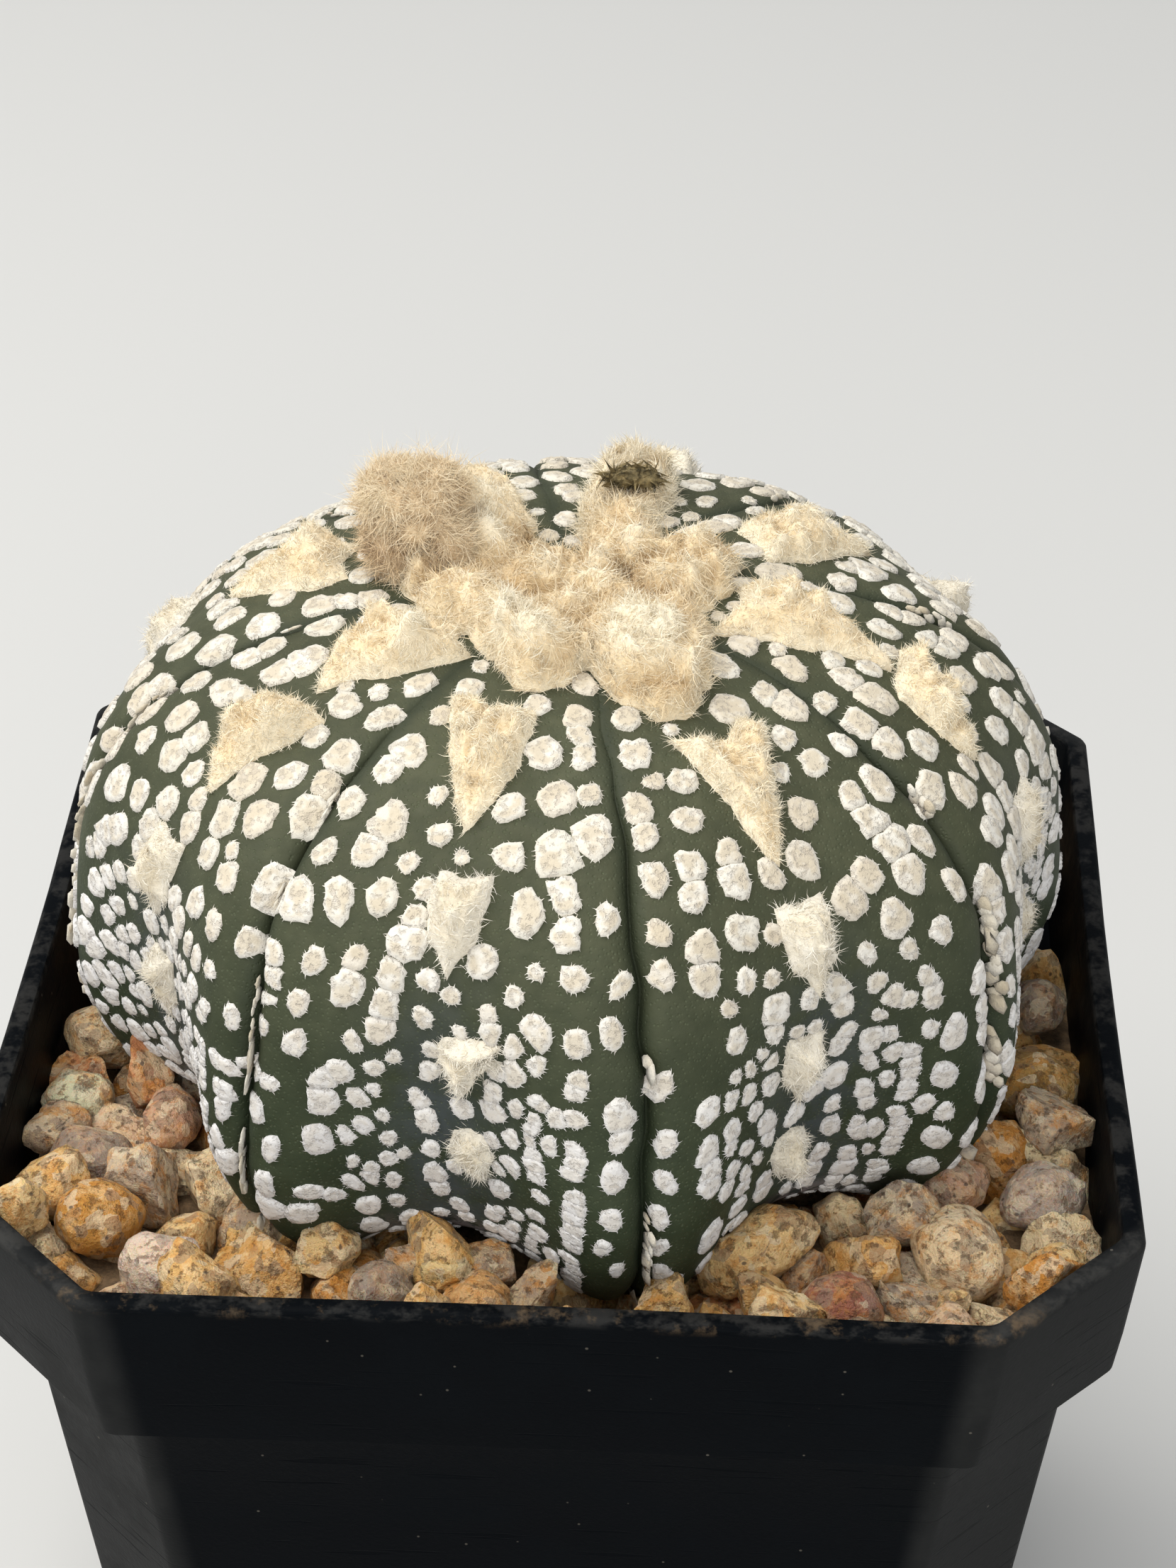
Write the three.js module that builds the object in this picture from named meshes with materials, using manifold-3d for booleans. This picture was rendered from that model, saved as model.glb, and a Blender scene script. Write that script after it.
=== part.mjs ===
// A spineless star cactus with eight ribs, in a square plastic nursery pot with a gravel top dressing.
// Millimetres, +Z up. The origin is the centre of the underside, and the pot's front face looks along -Y.
import * as THREE from "three";
import { mergeVertices } from "three/addons/utils/BufferGeometryUtils.js";
import Module from "manifold-3d";

const wasm = await Module();
wasm.setup();

// Pot: a square with its corners cut off, its rim band standing proud of a tapered body.
const POT_HEIGHT = 80;
const RIM_HALF = 42.5;
const RIM_CHAMFER = 10.5;
const BAND_HEIGHT = 13.5;
const BAND_FOOT_HALF = 41.4;
const BODY_TOP_HALF = 38.5;
const BODY_CHAMFER = 8.9;
const BODY_TAPER = 0.095;
const WALL = 1.5;
const LIP = 1.8;
const FLOOR_THICKNESS = 1.6;
const CORNER_RADIUS = 1.6;
const DRAIN_RADIUS = 4;
const DRAIN_REACH = 20;
const DRAIN_REACH_DIAGONAL = 26;
const BAND_FOOT = POT_HEIGHT - BAND_HEIGHT;
const BAND_CHAMFER_SPREAD = 0.25;
const INNER_SHELF = BAND_FOOT + 1.05;
const FOOT_EDGE = 0.8;
const BAND_EDGE = 0.5;
const RIM_EDGE = 0.7;

// Fill: potting mix up to SOIL_TOP, a bed of gravel above it.
const SOIL_TOP = 60;
const BED_TOP = 71.4;
const CLEARANCE = 0.3;
const STONE_PITCH = 5.7;
const STONE_TOP_FRONT = 77.2;
const STONE_TOP_LEFT = 74.8;
const STONE_SINK = 1.4;
const STONE_JITTER = 1.6;
const STONE_SMALLEST = 5;
const STONE_SIZE_RANGE = 2.8;
const STONE_DROP = 1.2;
const STONE_ROUGHNESS = 0.28;
const STONE_TILT = 0.9;

// Plant: a flattened dome, given by the radius and height of its widest ring, its crown and its foot.
const AXIS = new THREE.Vector2(0.1, 1.2);
const DOME_RADIUS = 36;
const DOME_WAIST = POT_HEIGHT + 13;
const DOME_CROWN = POT_HEIGHT + 33;
const DOME_FULLNESS = 2.3;
const CROWN_DIP = 2.1;
const CROWN_DIP_SPREAD = 0.22;
const FOOT_RADIUS = 30;
const FOOT_HEIGHT = POT_HEIGHT - 5.8;
const UNDERSIDE_DROP = 6;
const ROOT_RADIUS = 8;
const ROOT_LENGTH = 34;

// Ribs: the angle of each groove in degrees, from the front one round by way of the right.
const GROOVES = [-79.7, -33.3, 10.6, 51.5, 100.3, 142.8, 190.3, 235.1];
const RIBS_START = 4;
const RIBS_FULL = 26;
const RIB_SWELL = 1.85;
const GROOVE_DEPTH = 1.5;
const GROOVE_WIDTH = 1.5;

// White flecks in rows beside each groove, larger and fewer than life.
const FLECK_ROWS = [3.8, 9, 13.4];
const FLECK_SPACING = 6.7;
const FLECK_LENGTH = 4.1;
const FLECK_BREADTH = 3.3;
const FLECK_HEIGHT = 0.5;
const FLECK_SINK = 1;
const FLECK_SLIP = 1.1;
const FLECK_SHIFT = 0.7;
const FLECK_SIZE_RANGE = 0.28;
const FLECKS_FROM = 12;
const FLECKS_TO = 58;
const WOOL_MARGIN = 2.3;

// Woolly tufts down the middle of each rib: distance from the crown, length, breadth and height.
const TOP_TUFTS = [
  { rib: 0, at: 25, length: 12.5, breadth: 7, height: 1.8 },
  { rib: 1, at: 18, length: 11.5, breadth: 7, height: 2.4 },
  { rib: 1, at: 29, length: 8, breadth: 5.5, height: 1.8 },
  { rib: 2, at: 20.5, length: 10, breadth: 6.4, height: 2.2 },
  { rib: 4, at: 17, length: 8, breadth: 6.4, height: 2.6 },
  { rib: 5, at: 22.5, length: 9, breadth: 6.4, height: 1.8 },
  { rib: 6, at: 16.5, length: 11, breadth: 7, height: 2.4 },
  { rib: 6, at: 27.5, length: 9.5, breadth: 6.4, height: 1.8 },
  { rib: 7, at: 21.5, length: 12, breadth: 6.8, height: 1.8 },
];
const LOWER_AREOLES = [
  [37.8, 49.1, 58.6],
  [41.8, 51.5],
  [32, 43, 53.5],
  [30, 42, 53],
  [30, 42, 53],
  [35.6, 47, 57],
  [40, 50.2],
  [32.7, 45.3, 56.4],
];
const AREOLE_LENGTH = 5.6;
const AREOLE_BREADTH = 4;
const AREOLE_HEIGHT = 1.1;

// Crown wool: puffs that run into each other, each by its angle, distance from the centre and radius.
const CROWN_PUFFS = [
  { angle: 0, at: 0.2, radius: 5.4 },
  { angle: 250, at: 8.6, radius: 4.6 },
  { angle: 306, at: 9.6, radius: 4.9 },
  { angle: 303, at: 13.8, radius: 3.7 },
  { angle: 17, at: 8.4, radius: 3.7 },
  { angle: 25, at: 11.6, radius: 2.6 },
  { angle: 67, at: 7, radius: 3.7 },
  { angle: 128, at: 5.8, radius: 3.7 },
  { angle: 194, at: 6.6, radius: 3.8 },
  { angle: 349, at: 5, radius: 4.4 },
];
const PUFF_LOFT = 0.62;
const BUD_ANGLE = 162;
const BUD_AT = 12.2;
const BUD_LIFT = 4;
const BUD_RADIUS = 5;
const FLOWER_RIB = 3;
const FLOWER_AT = 16.5;

// Large loose stones that lie on the bed: place, size and colour.
const LOOSE_STONES = [
  { name: "stone_tan_left", x: -36.2, y: -4.5, z: 73.4, size: 7, colour: "#b99a6c" },
  { name: "stone_greenish_left", x: -36.8, y: -13, z: 73.6, size: 5.6, colour: "#b9b890" },
  { name: "stone_pink_left", x: -29.4, y: -15.6, z: 74.4, size: 5.4, colour: "#b98d72" },
  { name: "stone_brown_quartz_left", x: -34.6, y: -20.6, z: 74, size: 6.6, colour: "#94785f" },
  { name: "stone_ochre_left", x: -32.8, y: -28, z: 75, size: 7, colour: "#a8772f" },
  { name: "stone_milky_quartz", x: -27.2, y: -33.6, z: 75.4, size: 6.4, colour: "#cdb7a2" },
  { name: "stone_grey_quartz_front", x: -11.8, y: -34.6, z: 75.2, size: 5.2, colour: "#8d7c6d" },
  { name: "stone_orange_front", x: -4.4, y: -36, z: 75.4, size: 5.6, colour: "#c98f56" },
  { name: "stone_red_front", x: 21.2, y: -34.8, z: 75.4, size: 6, colour: "#8f5238" },
  { name: "stone_cream_right", x: 29.6, y: -28.8, z: 75.6, size: 7.4, colour: "#cfae7d" },
  { name: "stone_grey_quartz_right", x: 36, y: -22, z: 75, size: 6.4, colour: "#9c8b7c" },
  { name: "stone_pinkish_right", x: 29.6, y: -20.4, z: 74.6, size: 5.6, colour: "#b78f74" },
  { name: "stone_spotted_right", x: 36.2, y: -9, z: 75, size: 6.8, colour: "#94712f" },
  { name: "stone_grey_brown_right", x: 37, y: 2, z: 74.4, size: 5, colour: "#85705c" },
];

// A small random generator, so that every build places the repeats alike.
function seeded(seed) {
  let state = seed;
  return () => {
    state = (state * 16807) % 2147483647;
    return state / 2147483647;
  };
}

// Solids: a closed geometry to a solid, and a solid back to a geometry.
function solidOf(geometry) {
  const bare = geometry.clone();
  bare.deleteAttribute("normal");
  bare.deleteAttribute("uv");
  const merged = mergeVertices(bare, 1e-4);
  return new wasm.Manifold(
    new wasm.Mesh({
      numProp: 3,
      vertProperties: new Float32Array(merged.attributes.position.array),
      triVerts: new Uint32Array(merged.index.array),
    }),
  );
}

function geometryOf(solid) {
  const cut = solid.getMesh();
  const geometry = new THREE.BufferGeometry();
  geometry.setAttribute("position", new THREE.BufferAttribute(cut.vertProperties, 3));
  geometry.setIndex(new THREE.BufferAttribute(cut.triVerts, 1));
  return geometry;
}

function largestBody(solid) {
  const bodies = solid.decompose();
  return bodies.reduce((best, body) => (body.volume() > best.volume() ? body : best));
}

function union(solids) {
  return wasm.Manifold.union(solids);
}

const cactus = new THREE.Group();
cactus.name = "potted_star_cactus";

function addPiece(name, solid, colour, roughness) {
  const geometry = geometryOf(largestBody(solid));
  geometry.computeVertexNormals();
  const material = new THREE.MeshStandardMaterial({ color: colour, roughness, metalness: 0 });
  const piece = new THREE.Mesh(geometry, material);
  piece.name = name;
  cactus.add(piece);
}

// Outline of a square with cut corners, each corner rounded by three points, counter-clockwise.
function cutSquare(half, chamfer) {
  const near = half - chamfer;
  const corners = [
    [near, -half],
    [half, -near],
    [half, near],
    [near, half],
    [-near, half],
    [-half, near],
    [-half, -near],
    [-near, -half],
  ].map(([x, y]) => new THREE.Vector2(x, y));
  const points = [];
  corners.forEach((corner, i) => {
    const before = corners[(i + 7) % 8].clone().sub(corner).normalize();
    const after = corners[(i + 1) % 8].clone().sub(corner).normalize();
    const tangent = CORNER_RADIUS * Math.tan(Math.PI / 8);
    const inward = before.clone().add(after).normalize();
    const sagitta = CORNER_RADIUS / Math.cos(Math.PI / 8) - CORNER_RADIUS;
    points.push(corner.clone().addScaledVector(before, tangent));
    points.push(corner.clone().addScaledVector(inward, sagitta));
    points.push(corner.clone().addScaledVector(after, tangent));
  });
  return points;
}

// A turned shape whose rings are cut squares: each level is a half width, a chamfer and a height.
function squareTurning(levels) {
  const profile = levels.map(([half, , z]) => new THREE.Vector2(half, z));
  const segments = cutSquare(RIM_HALF, RIM_CHAMFER).length;
  const geometry = new THREE.LatheGeometry(profile, segments);
  const position = geometry.attributes.position;
  levels.forEach(([half, chamfer, z], level) => {
    const ring = half > 0 ? cutSquare(half, chamfer) : null;
    for (let segment = 0; segment <= segments; segment++) {
      const at = ring ? ring[segment % segments] : new THREE.Vector2(0, 0);
      position.setXYZ(segment * levels.length + level, at.x, at.y, z);
    }
  });
  return solidOf(geometry);
}

// A cut square moved in by a distance all round.
function inset([half, chamfer, z], distance, lift = 0) {
  return [half - distance, chamfer - distance * (2 - Math.SQRT2), z + lift];
}

function bodyLevel(z) {
  const below = POT_HEIGHT - BAND_HEIGHT - z;
  return [BODY_TOP_HALF - BODY_TAPER * below, BODY_CHAMFER, z];
}

function bandLevel(z) {
  const share = (z - BAND_FOOT) / BAND_HEIGHT;
  const half = BAND_FOOT_HALF + (RIM_HALF - BAND_FOOT_HALF) * share;
  return [half, RIM_CHAMFER + BAND_CHAMFER_SPREAD * (1 - share), z];
}

// The room inside the pot, moved in from its walls by a clearance and closed at two heights.
function potRoom(bottom, top, clearance) {
  const levels = [[0, 0, bottom], inset(bodyLevel(bottom), WALL + clearance)];
  if (top > INNER_SHELF) {
    levels.push(inset(bodyLevel(BAND_FOOT - 1), WALL + clearance));
    levels.push(inset(bandLevel(INNER_SHELF + clearance), LIP + clearance));
    levels.push(inset(bandLevel(top), LIP + clearance));
  } else {
    levels.push(inset(bodyLevel(top), WALL + clearance));
  }
  levels.push([0, 0, top]);
  return squareTurning(levels);
}

function buildPot() {
  let pot = squareTurning([
    [0, 0, 0],
    inset(bodyLevel(0), FOOT_EDGE),
    bodyLevel(FOOT_EDGE),
    bodyLevel(BAND_FOOT - 0.2),
    inset(bandLevel(BAND_FOOT), BAND_EDGE),
    bandLevel(BAND_FOOT + BAND_EDGE),
    bandLevel(POT_HEIGHT - RIM_EDGE),
    inset(bandLevel(POT_HEIGHT - RIM_EDGE / 3), RIM_EDGE / 3),
    inset(bandLevel(POT_HEIGHT), RIM_EDGE),
    inset(bandLevel(POT_HEIGHT), LIP - RIM_EDGE / 2),
    inset(bandLevel(POT_HEIGHT - RIM_EDGE / 2), LIP),
    inset(bandLevel(INNER_SHELF), LIP),
    inset(bodyLevel(BAND_FOOT - 1), WALL),
    inset(bodyLevel(FLOOR_THICKNESS), WALL),
    [0, 0, FLOOR_THICKNESS],
  ]);
  for (let i = 0; i < 8; i++) {
    const angle = (i * Math.PI) / 4;
    const reach = i % 2 ? DRAIN_REACH_DIAGONAL : DRAIN_REACH;
    const hole = new THREE.CylinderGeometry(DRAIN_RADIUS, DRAIN_RADIUS, 4 * FLOOR_THICKNESS, 12);
    hole.rotateX(Math.PI / 2);
    hole.translate(reach * Math.cos(angle), reach * Math.sin(angle), 0);
    pot = pot.subtract(solidOf(hole));
  }
  addPiece("pot", pot, "#17191b", 0.5);
}

// The dome's profile from the crown, out over the waist, down to the foot and back in underneath.
class DomeProfile extends THREE.Curve {
  getPoint(t, target = new THREE.Vector2()) {
    const stage = Math.min(2, Math.floor(t * 3));
    const turn = (t * 3 - stage) * (Math.PI / 2);
    const power = 2 / DOME_FULLNESS;
    if (stage === 0) {
      const r = DOME_RADIUS * Math.sin(turn) ** power;
      const rise = (DOME_CROWN - DOME_WAIST) * Math.max(0, Math.cos(turn)) ** power;
      const dip = CROWN_DIP * Math.exp(-((r / (CROWN_DIP_SPREAD * DOME_RADIUS)) ** 2));
      return target.set(r, DOME_WAIST + rise - dip);
    }
    if (stage === 1) {
      const r = FOOT_RADIUS + (DOME_RADIUS - FOOT_RADIUS) * Math.max(0, Math.cos(turn)) ** power;
      return target.set(r, DOME_WAIST - (DOME_WAIST - FOOT_HEIGHT) * Math.sin(turn) ** power);
    }
    return target.set(FOOT_RADIUS * Math.cos(turn), FOOT_HEIGHT - UNDERSIDE_DROP * (1 - Math.cos(turn)));
  }
}

const dome = new DomeProfile();
dome.arcLengthDivisions = 600;
const DOME_LENGTH = dome.getLength();

function ribAt(degrees) {
  const turned = (((degrees - GROOVES[0]) % 360) + 360) % 360 + GROOVES[0];
  let rib = 0;
  while (rib < 7 && turned >= GROOVES[rib + 1]) rib++;
  const from = GROOVES[rib];
  const to = rib < 7 ? GROOVES[rib + 1] : GROOVES[0] + 360;
  return { share: (turned - from) / (to - from), gap: Math.min(turned - from, to - turned) };
}

// A point of the skin: how far along the profile from the crown, and the angle round the plant.
function skin(along, degrees, grow = 0) {
  const share = THREE.MathUtils.clamp(along / DOME_LENGTH, 0, 1);
  const base = dome.getPointAt(share);
  const heading = dome.getTangentAt(THREE.MathUtils.clamp(share, 0.002, 0.998));
  const low = THREE.MathUtils.clamp((DOME_CROWN - base.y) / (DOME_CROWN - DOME_WAIST), 0, 1.5);
  const fade = THREE.MathUtils.smoothstep(base.x, RIBS_START, RIBS_FULL);
  const { share: across, gap } = ribAt(degrees);
  const swell = RIB_SWELL * low ** 1.5 * fade * Math.cos(2 * Math.PI * across);
  const away = THREE.MathUtils.degToRad(gap) * base.x;
  const groove = GROOVE_DEPTH * fade * Math.min(1, 3 * low) * Math.exp(-away / GROOVE_WIDTH);
  const out = swell - groove + grow;
  const r = Math.max(0, base.x - heading.y * out);
  const z = base.y + heading.x * out;
  const angle = THREE.MathUtils.degToRad(degrees);
  return new THREE.Vector3(AXIS.x + r * Math.cos(angle), AXIS.y + r * Math.sin(angle), z);
}

// The skin's own axes at a point: down the rib, across it and out of it.
function skinFrame(along, degrees) {
  const point = skin(along, degrees);
  const down = skin(along + 0.6, degrees).sub(skin(along - 0.6, degrees)).normalize();
  const across = skin(along, degrees + 1.2).sub(skin(along, degrees - 1.2)).normalize();
  const out = new THREE.Vector3().crossVectors(down, across).normalize();
  across.crossVectors(out, down);
  return new THREE.Matrix4().makeBasis(down, across, out).setPosition(point);
}

// Angles of the skin's columns across each rib, from a share of its breadth to the next.
const FINE_SHARES = [0, 0.05, 0.16, 0.33, 0.5, 0.67, 0.84, 0.95];
const COARSE_SHARES = [0, 0.33, 0.67];

function ribColumns(shares) {
  return GROOVES.flatMap((from, rib) => {
    const to = rib < 7 ? GROOVES[rib + 1] : GROOVES[0] + 360;
    return shares.map((share) => from + share * (to - from));
  });
}

// A turned dome whose every vertex is then moved to the skin's formula.
function buildSkin(grow, shares = FINE_SHARES) {
  const columns = ribColumns(shares);
  const rows = 18;
  const stations = Array.from({ length: rows + 1 }, (_, i) => (i / rows) * DOME_LENGTH);
  const profile = stations.map((along) => dome.getPointAt(along / DOME_LENGTH));
  const geometry = new THREE.LatheGeometry(profile.reverse(), columns.length);
  const position = geometry.attributes.position;
  stations.reverse();
  for (let column = 0; column <= columns.length; column++) {
    const degrees = columns[column % columns.length];
    stations.forEach((along, row) => {
      const onAxis = row === 0 || row === rows;
      const p = skin(along, degrees, grow);
      if (onAxis) p.set(AXIS.x, AXIS.y, p.z);
      position.setXYZ(column * stations.length + row, p.x, p.y, p.z);
    });
  }
  return solidOf(geometry);
}

function buildRoot(grow) {
  const top = FOOT_HEIGHT - UNDERSIDE_DROP + 3;
  const profile = [
    [0, top],
    [ROOT_RADIUS + 1.5, top],
    [ROOT_RADIUS, top - 6],
    [ROOT_RADIUS * 0.72, top - 0.4 * ROOT_LENGTH],
    [ROOT_RADIUS * 0.42, top - 0.75 * ROOT_LENGTH],
    [ROOT_RADIUS * 0.16, top - ROOT_LENGTH],
    [0, top - ROOT_LENGTH - 1],
  ].map(([r, z]) => new THREE.Vector2(r > 0 ? r + grow : 0, z - (r > 0 ? 0 : Math.sign(top - z) * grow)));
  const geometry = new THREE.LatheGeometry(profile.reverse(), 12);
  geometry.rotateX(Math.PI / 2);
  geometry.translate(AXIS.x, AXIS.y, 0);
  return solidOf(geometry);
}

// A low five-sided pad with its root sunk in the skin.
function fleck(along, degrees, length, breadth, turn) {
  const pad = new THREE.CylinderGeometry(0.36, 0.5, FLECK_HEIGHT + FLECK_SINK, 5);
  pad.rotateX(Math.PI / 2);
  pad.translate(0, 0, (FLECK_HEIGHT - FLECK_SINK) / 2);
  pad.rotateZ(turn);
  pad.scale(length, breadth, 1);
  pad.applyMatrix4(skinFrame(along, degrees));
  return solidOf(pad);
}

function middleOf(rib) {
  const to = rib < 7 ? GROOVES[rib + 1] : GROOVES[0] + 360;
  return (GROOVES[rib] + to) / 2;
}

function halfBreadth(rib, r) {
  const to = rib < 7 ? GROOVES[rib + 1] : GROOVES[0] + 360;
  return THREE.MathUtils.degToRad((to - GROOVES[rib]) / 2) * r;
}

// The ground that wool covers: a line on the skin and how far the wool reaches from it.
function woolGrounds() {
  const along = (from, to, degrees, reach) => ({
    line: new THREE.Line3(skin(from, degrees), skin(to, degrees)),
    reach,
  });
  const tufts = TOP_TUFTS.map((t) => {
    const half = (t.length - t.breadth) / 2;
    return along(t.at - half, t.at + half, middleOf(t.rib), t.breadth / 2);
  });
  const areoles = LOWER_AREOLES.flatMap((stations, rib) =>
    stations.map((at) => along(at - 1, at + 1, middleOf(rib), AREOLE_BREADTH / 2)),
  );
  const puffs = CROWN_PUFFS.map((puff) => along(puff.at, puff.at + 0.1, puff.angle, puff.radius));
  const bud = along(BUD_AT - 2, BUD_AT + 2, BUD_ANGLE, BUD_RADIUS);
  const flower = along(FLOWER_AT - 1, FLOWER_AT + 1, middleOf(FLOWER_RIB), 4);
  return [...tufts, ...areoles, ...puffs, bud, flower];
}

function clearOfWool(point, grounds) {
  const nearest = new THREE.Vector3();
  return grounds.every(({ line, reach }) => {
    line.closestPointToPoint(point, true, nearest);
    return nearest.distanceTo(point) > reach + WOOL_MARGIN;
  });
}

function buildFlecks() {
  const random = seeded(417);
  const grounds = woolGrounds();
  const flecks = [];
  for (let rib = 0; rib < 8; rib++) {
    for (const side of [1, -1]) {
      FLECK_ROWS.forEach((fromGroove, row) => {
        const start = FLECKS_FROM + (row % 2) * FLECK_SPACING * 0.5;
        for (let along = start; along < FLECKS_TO; along += FLECK_SPACING) {
          const r = dome.getPointAt(along / DOME_LENGTH).x;
          const half = halfBreadth(rib, r);
          const slip = (random() - 0.5) * FLECK_SLIP;
          const shift = (random() - 0.5) * FLECK_SHIFT;
          const size = 1 + (random() - 0.5) * FLECK_SIZE_RANGE;
          const turn = random() * Math.PI;
          const fromMiddle = half - fromGroove - shift;
          const degrees = middleOf(rib) + side * THREE.MathUtils.radToDeg(fromMiddle / r);
          if (fromMiddle < 1.5 || !clearOfWool(skin(along + slip, degrees), grounds)) continue;
          flecks.push(fleck(along + slip, degrees, FLECK_LENGTH * size, FLECK_BREADTH * size, turn));
        }
      });
    }
  }
  return flecks;
}

// A rounded lump of wool on the skin, pointed towards the plant's foot, with small bumps.
function lump(along, degrees, length, breadth, height, detail, taper, seed) {
  const random = seeded(seed);
  const phase = [random(), random(), random()].map((value) => value * 2 * Math.PI);
  const ball = mergeVertices(bareBall(detail));
  const position = ball.attributes.position;
  const p = new THREE.Vector3();
  for (let i = 0; i < position.count; i++) {
    p.fromBufferAttribute(position, i);
    const ripple = 0.1 * Math.sin(4 * p.x + phase[0]) * Math.cos(5 * p.y + phase[1]);
    const bump = 1 + ripple + 0.07 * Math.sin(7 * p.z + phase[2]);
    const narrow = 1 - taper * Math.max(-0.3, p.x);
    position.setXYZ(i, (p.x * bump * length) / 2, (p.y * bump * narrow * breadth) / 2, p.z * bump * height);
  }
  ball.applyMatrix4(skinFrame(along, degrees));
  return solidOf(ball);
}

function bareBall(detail) {
  const ball = new THREE.IcosahedronGeometry(1, detail);
  ball.deleteAttribute("normal");
  ball.deleteAttribute("uv");
  return ball;
}

const WOOL_COLOUR = "#cdbb96";
const woolGround = buildSkin(CLEARANCE);

function buildPlant() {
  const areoles = LOWER_AREOLES.flatMap((stations, rib) =>
    stations.map((at, i) =>
      lump(at, middleOf(rib), AREOLE_LENGTH, AREOLE_BREADTH, AREOLE_HEIGHT, 0, 0.35, 50 + 7 * rib + i),
    ),
  );
  const plant = union([buildSkin(0), buildRoot(0), ...areoles, ...buildFlecks()]);
  addPiece("cactus_body", plant, "#3c4a34", 0.7);
}

function buildCrownWool() {
  const puffs = CROWN_PUFFS.map(({ angle, at, radius }, i) =>
    lump(at, angle, 2 * radius, 2 * radius, PUFF_LOFT * radius, 1, 0, 11 + i),
  );
  const ground = buildSkin(1.4 * CLEARANCE, COARSE_SHARES);
  addPiece("crown_wool", union(puffs).subtract(ground).subtract(budShape(CLEARANCE)), WOOL_COLOUR, 1);
}

function buildTufts() {
  TOP_TUFTS.forEach(({ rib, at, length, breadth, height }, i) => {
    const tuft = lump(at, middleOf(rib), length, breadth, height, 1, 0.55, 60 + i);
    addPiece(`wool_tuft_${i + 1}`, tuft.subtract(woolGround), WOOL_COLOUR, 1);
  });
}

// The ball of wool that wraps a bud, on a foot that spreads over the skin.
function budShape(grow) {
  const ball = mergeVertices(bareBall(2));
  const position = ball.attributes.position;
  const p = new THREE.Vector3();
  for (let i = 0; i < position.count; i++) {
    p.fromBufferAttribute(position, i);
    const bump = 1 + 0.05 * Math.sin(9 * p.x) * Math.sin(8 * p.y + 1) + 0.05 * Math.sin(7 * p.z + 2);
    p.multiplyScalar(BUD_RADIUS * bump + grow);
    position.setXYZ(i, p.x, p.y, p.z);
  }
  ball.translate(0, 0, BUD_LIFT);
  ball.applyMatrix4(skinFrame(BUD_AT, BUD_ANGLE));
  const spread = 8 + 2 * grow;
  return solidOf(ball).add(lump(BUD_AT - 1, BUD_ANGLE + 8, spread, spread, 2.4 + grow, 1, 0, 77));
}

// The dried flower stands in a well in its own tuft.
function buildFlower() {
  const at = middleOf(FLOWER_RIB);
  const tuft = lump(FLOWER_AT, at, 8.4, 7, 2.6, 1, 0.1, 81);
  const well = lump(FLOWER_AT, at, 4.6, 3.8, 3.4, 1, 0, 82);
  addPiece("flower_tuft_wool", tuft.subtract(well).subtract(woolGround), WOOL_COLOUR, 1);
  const flower = lump(FLOWER_AT, at, 3.8, 3, 2.8, 1, 0, 82);
  addPiece("dried_flower", flower.subtract(woolGround), "#3b2d1f", 0.9);
}

// A stone: a ball of few facets, stretched, turned and roughened by its own random numbers.
function stone(x, y, z, size, height, random, shape) {
  const bare = shape.clone();
  bare.deleteAttribute("normal");
  bare.deleteAttribute("uv");
  const ball = mergeVertices(bare);
  const position = ball.attributes.position;
  const p = new THREE.Vector3();
  for (let i = 0; i < position.count; i++) {
    const reach = (size / 2) * (1 + (random() - 0.5) * STONE_ROUGHNESS);
    p.fromBufferAttribute(position, i).multiplyScalar(reach);
    position.setXYZ(i, p.x, p.y, p.z);
  }
  ball.scale(1.08, 0.92, height / size);
  ball.rotateZ(random() * 2 * Math.PI);
  ball.rotateX((random() - 0.5) * STONE_TILT);
  ball.translate(x, y, z);
  return ball;
}

// The bed's top: level along the front and back, lower beside the left wall and a little by the right.
function stoneTop(x, y) {
  const left = THREE.MathUtils.smoothstep(-x, 27, 39) * THREE.MathUtils.smoothstep(y, -26, -8);
  const right = THREE.MathUtils.smoothstep(x, 33, 41) * THREE.MathUtils.smoothstep(y, -20, 10) * 0.4;
  return STONE_TOP_FRONT - (STONE_TOP_FRONT - STONE_TOP_LEFT) * Math.max(left, right);
}

// Whether a bed stone may lie here: clear of the plant, the walls and the loose stones.
function onBed(x, y) {
  const reach = Math.hypot(x - AXIS.x, y - AXIS.y);
  const degrees = THREE.MathUtils.radToDeg(Math.atan2(y - AXIS.y, x - AXIS.x));
  const foot = skin(FLECKS_TO, degrees);
  const outsidePlant = reach > Math.hypot(foot.x - AXIS.x, foot.y - AXIS.y) - 0.4;
  const insideWalls = Math.max(Math.abs(x), Math.abs(y)) < RIM_HALF - LIP - 2;
  const insideCorners = Math.abs(x) + Math.abs(y) < 2 * (RIM_HALF - LIP) - RIM_CHAMFER - 3;
  const free = LOOSE_STONES.every((s) => Math.hypot(s.x - x, s.y - y) > s.size / 2 + 1.4);
  return outsidePlant && insideWalls && insideCorners && free;
}

const BED_STONE = new THREE.IcosahedronGeometry(1, 0);
const LOOSE_STONE = new THREE.IcosahedronGeometry(1, 1);

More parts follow.
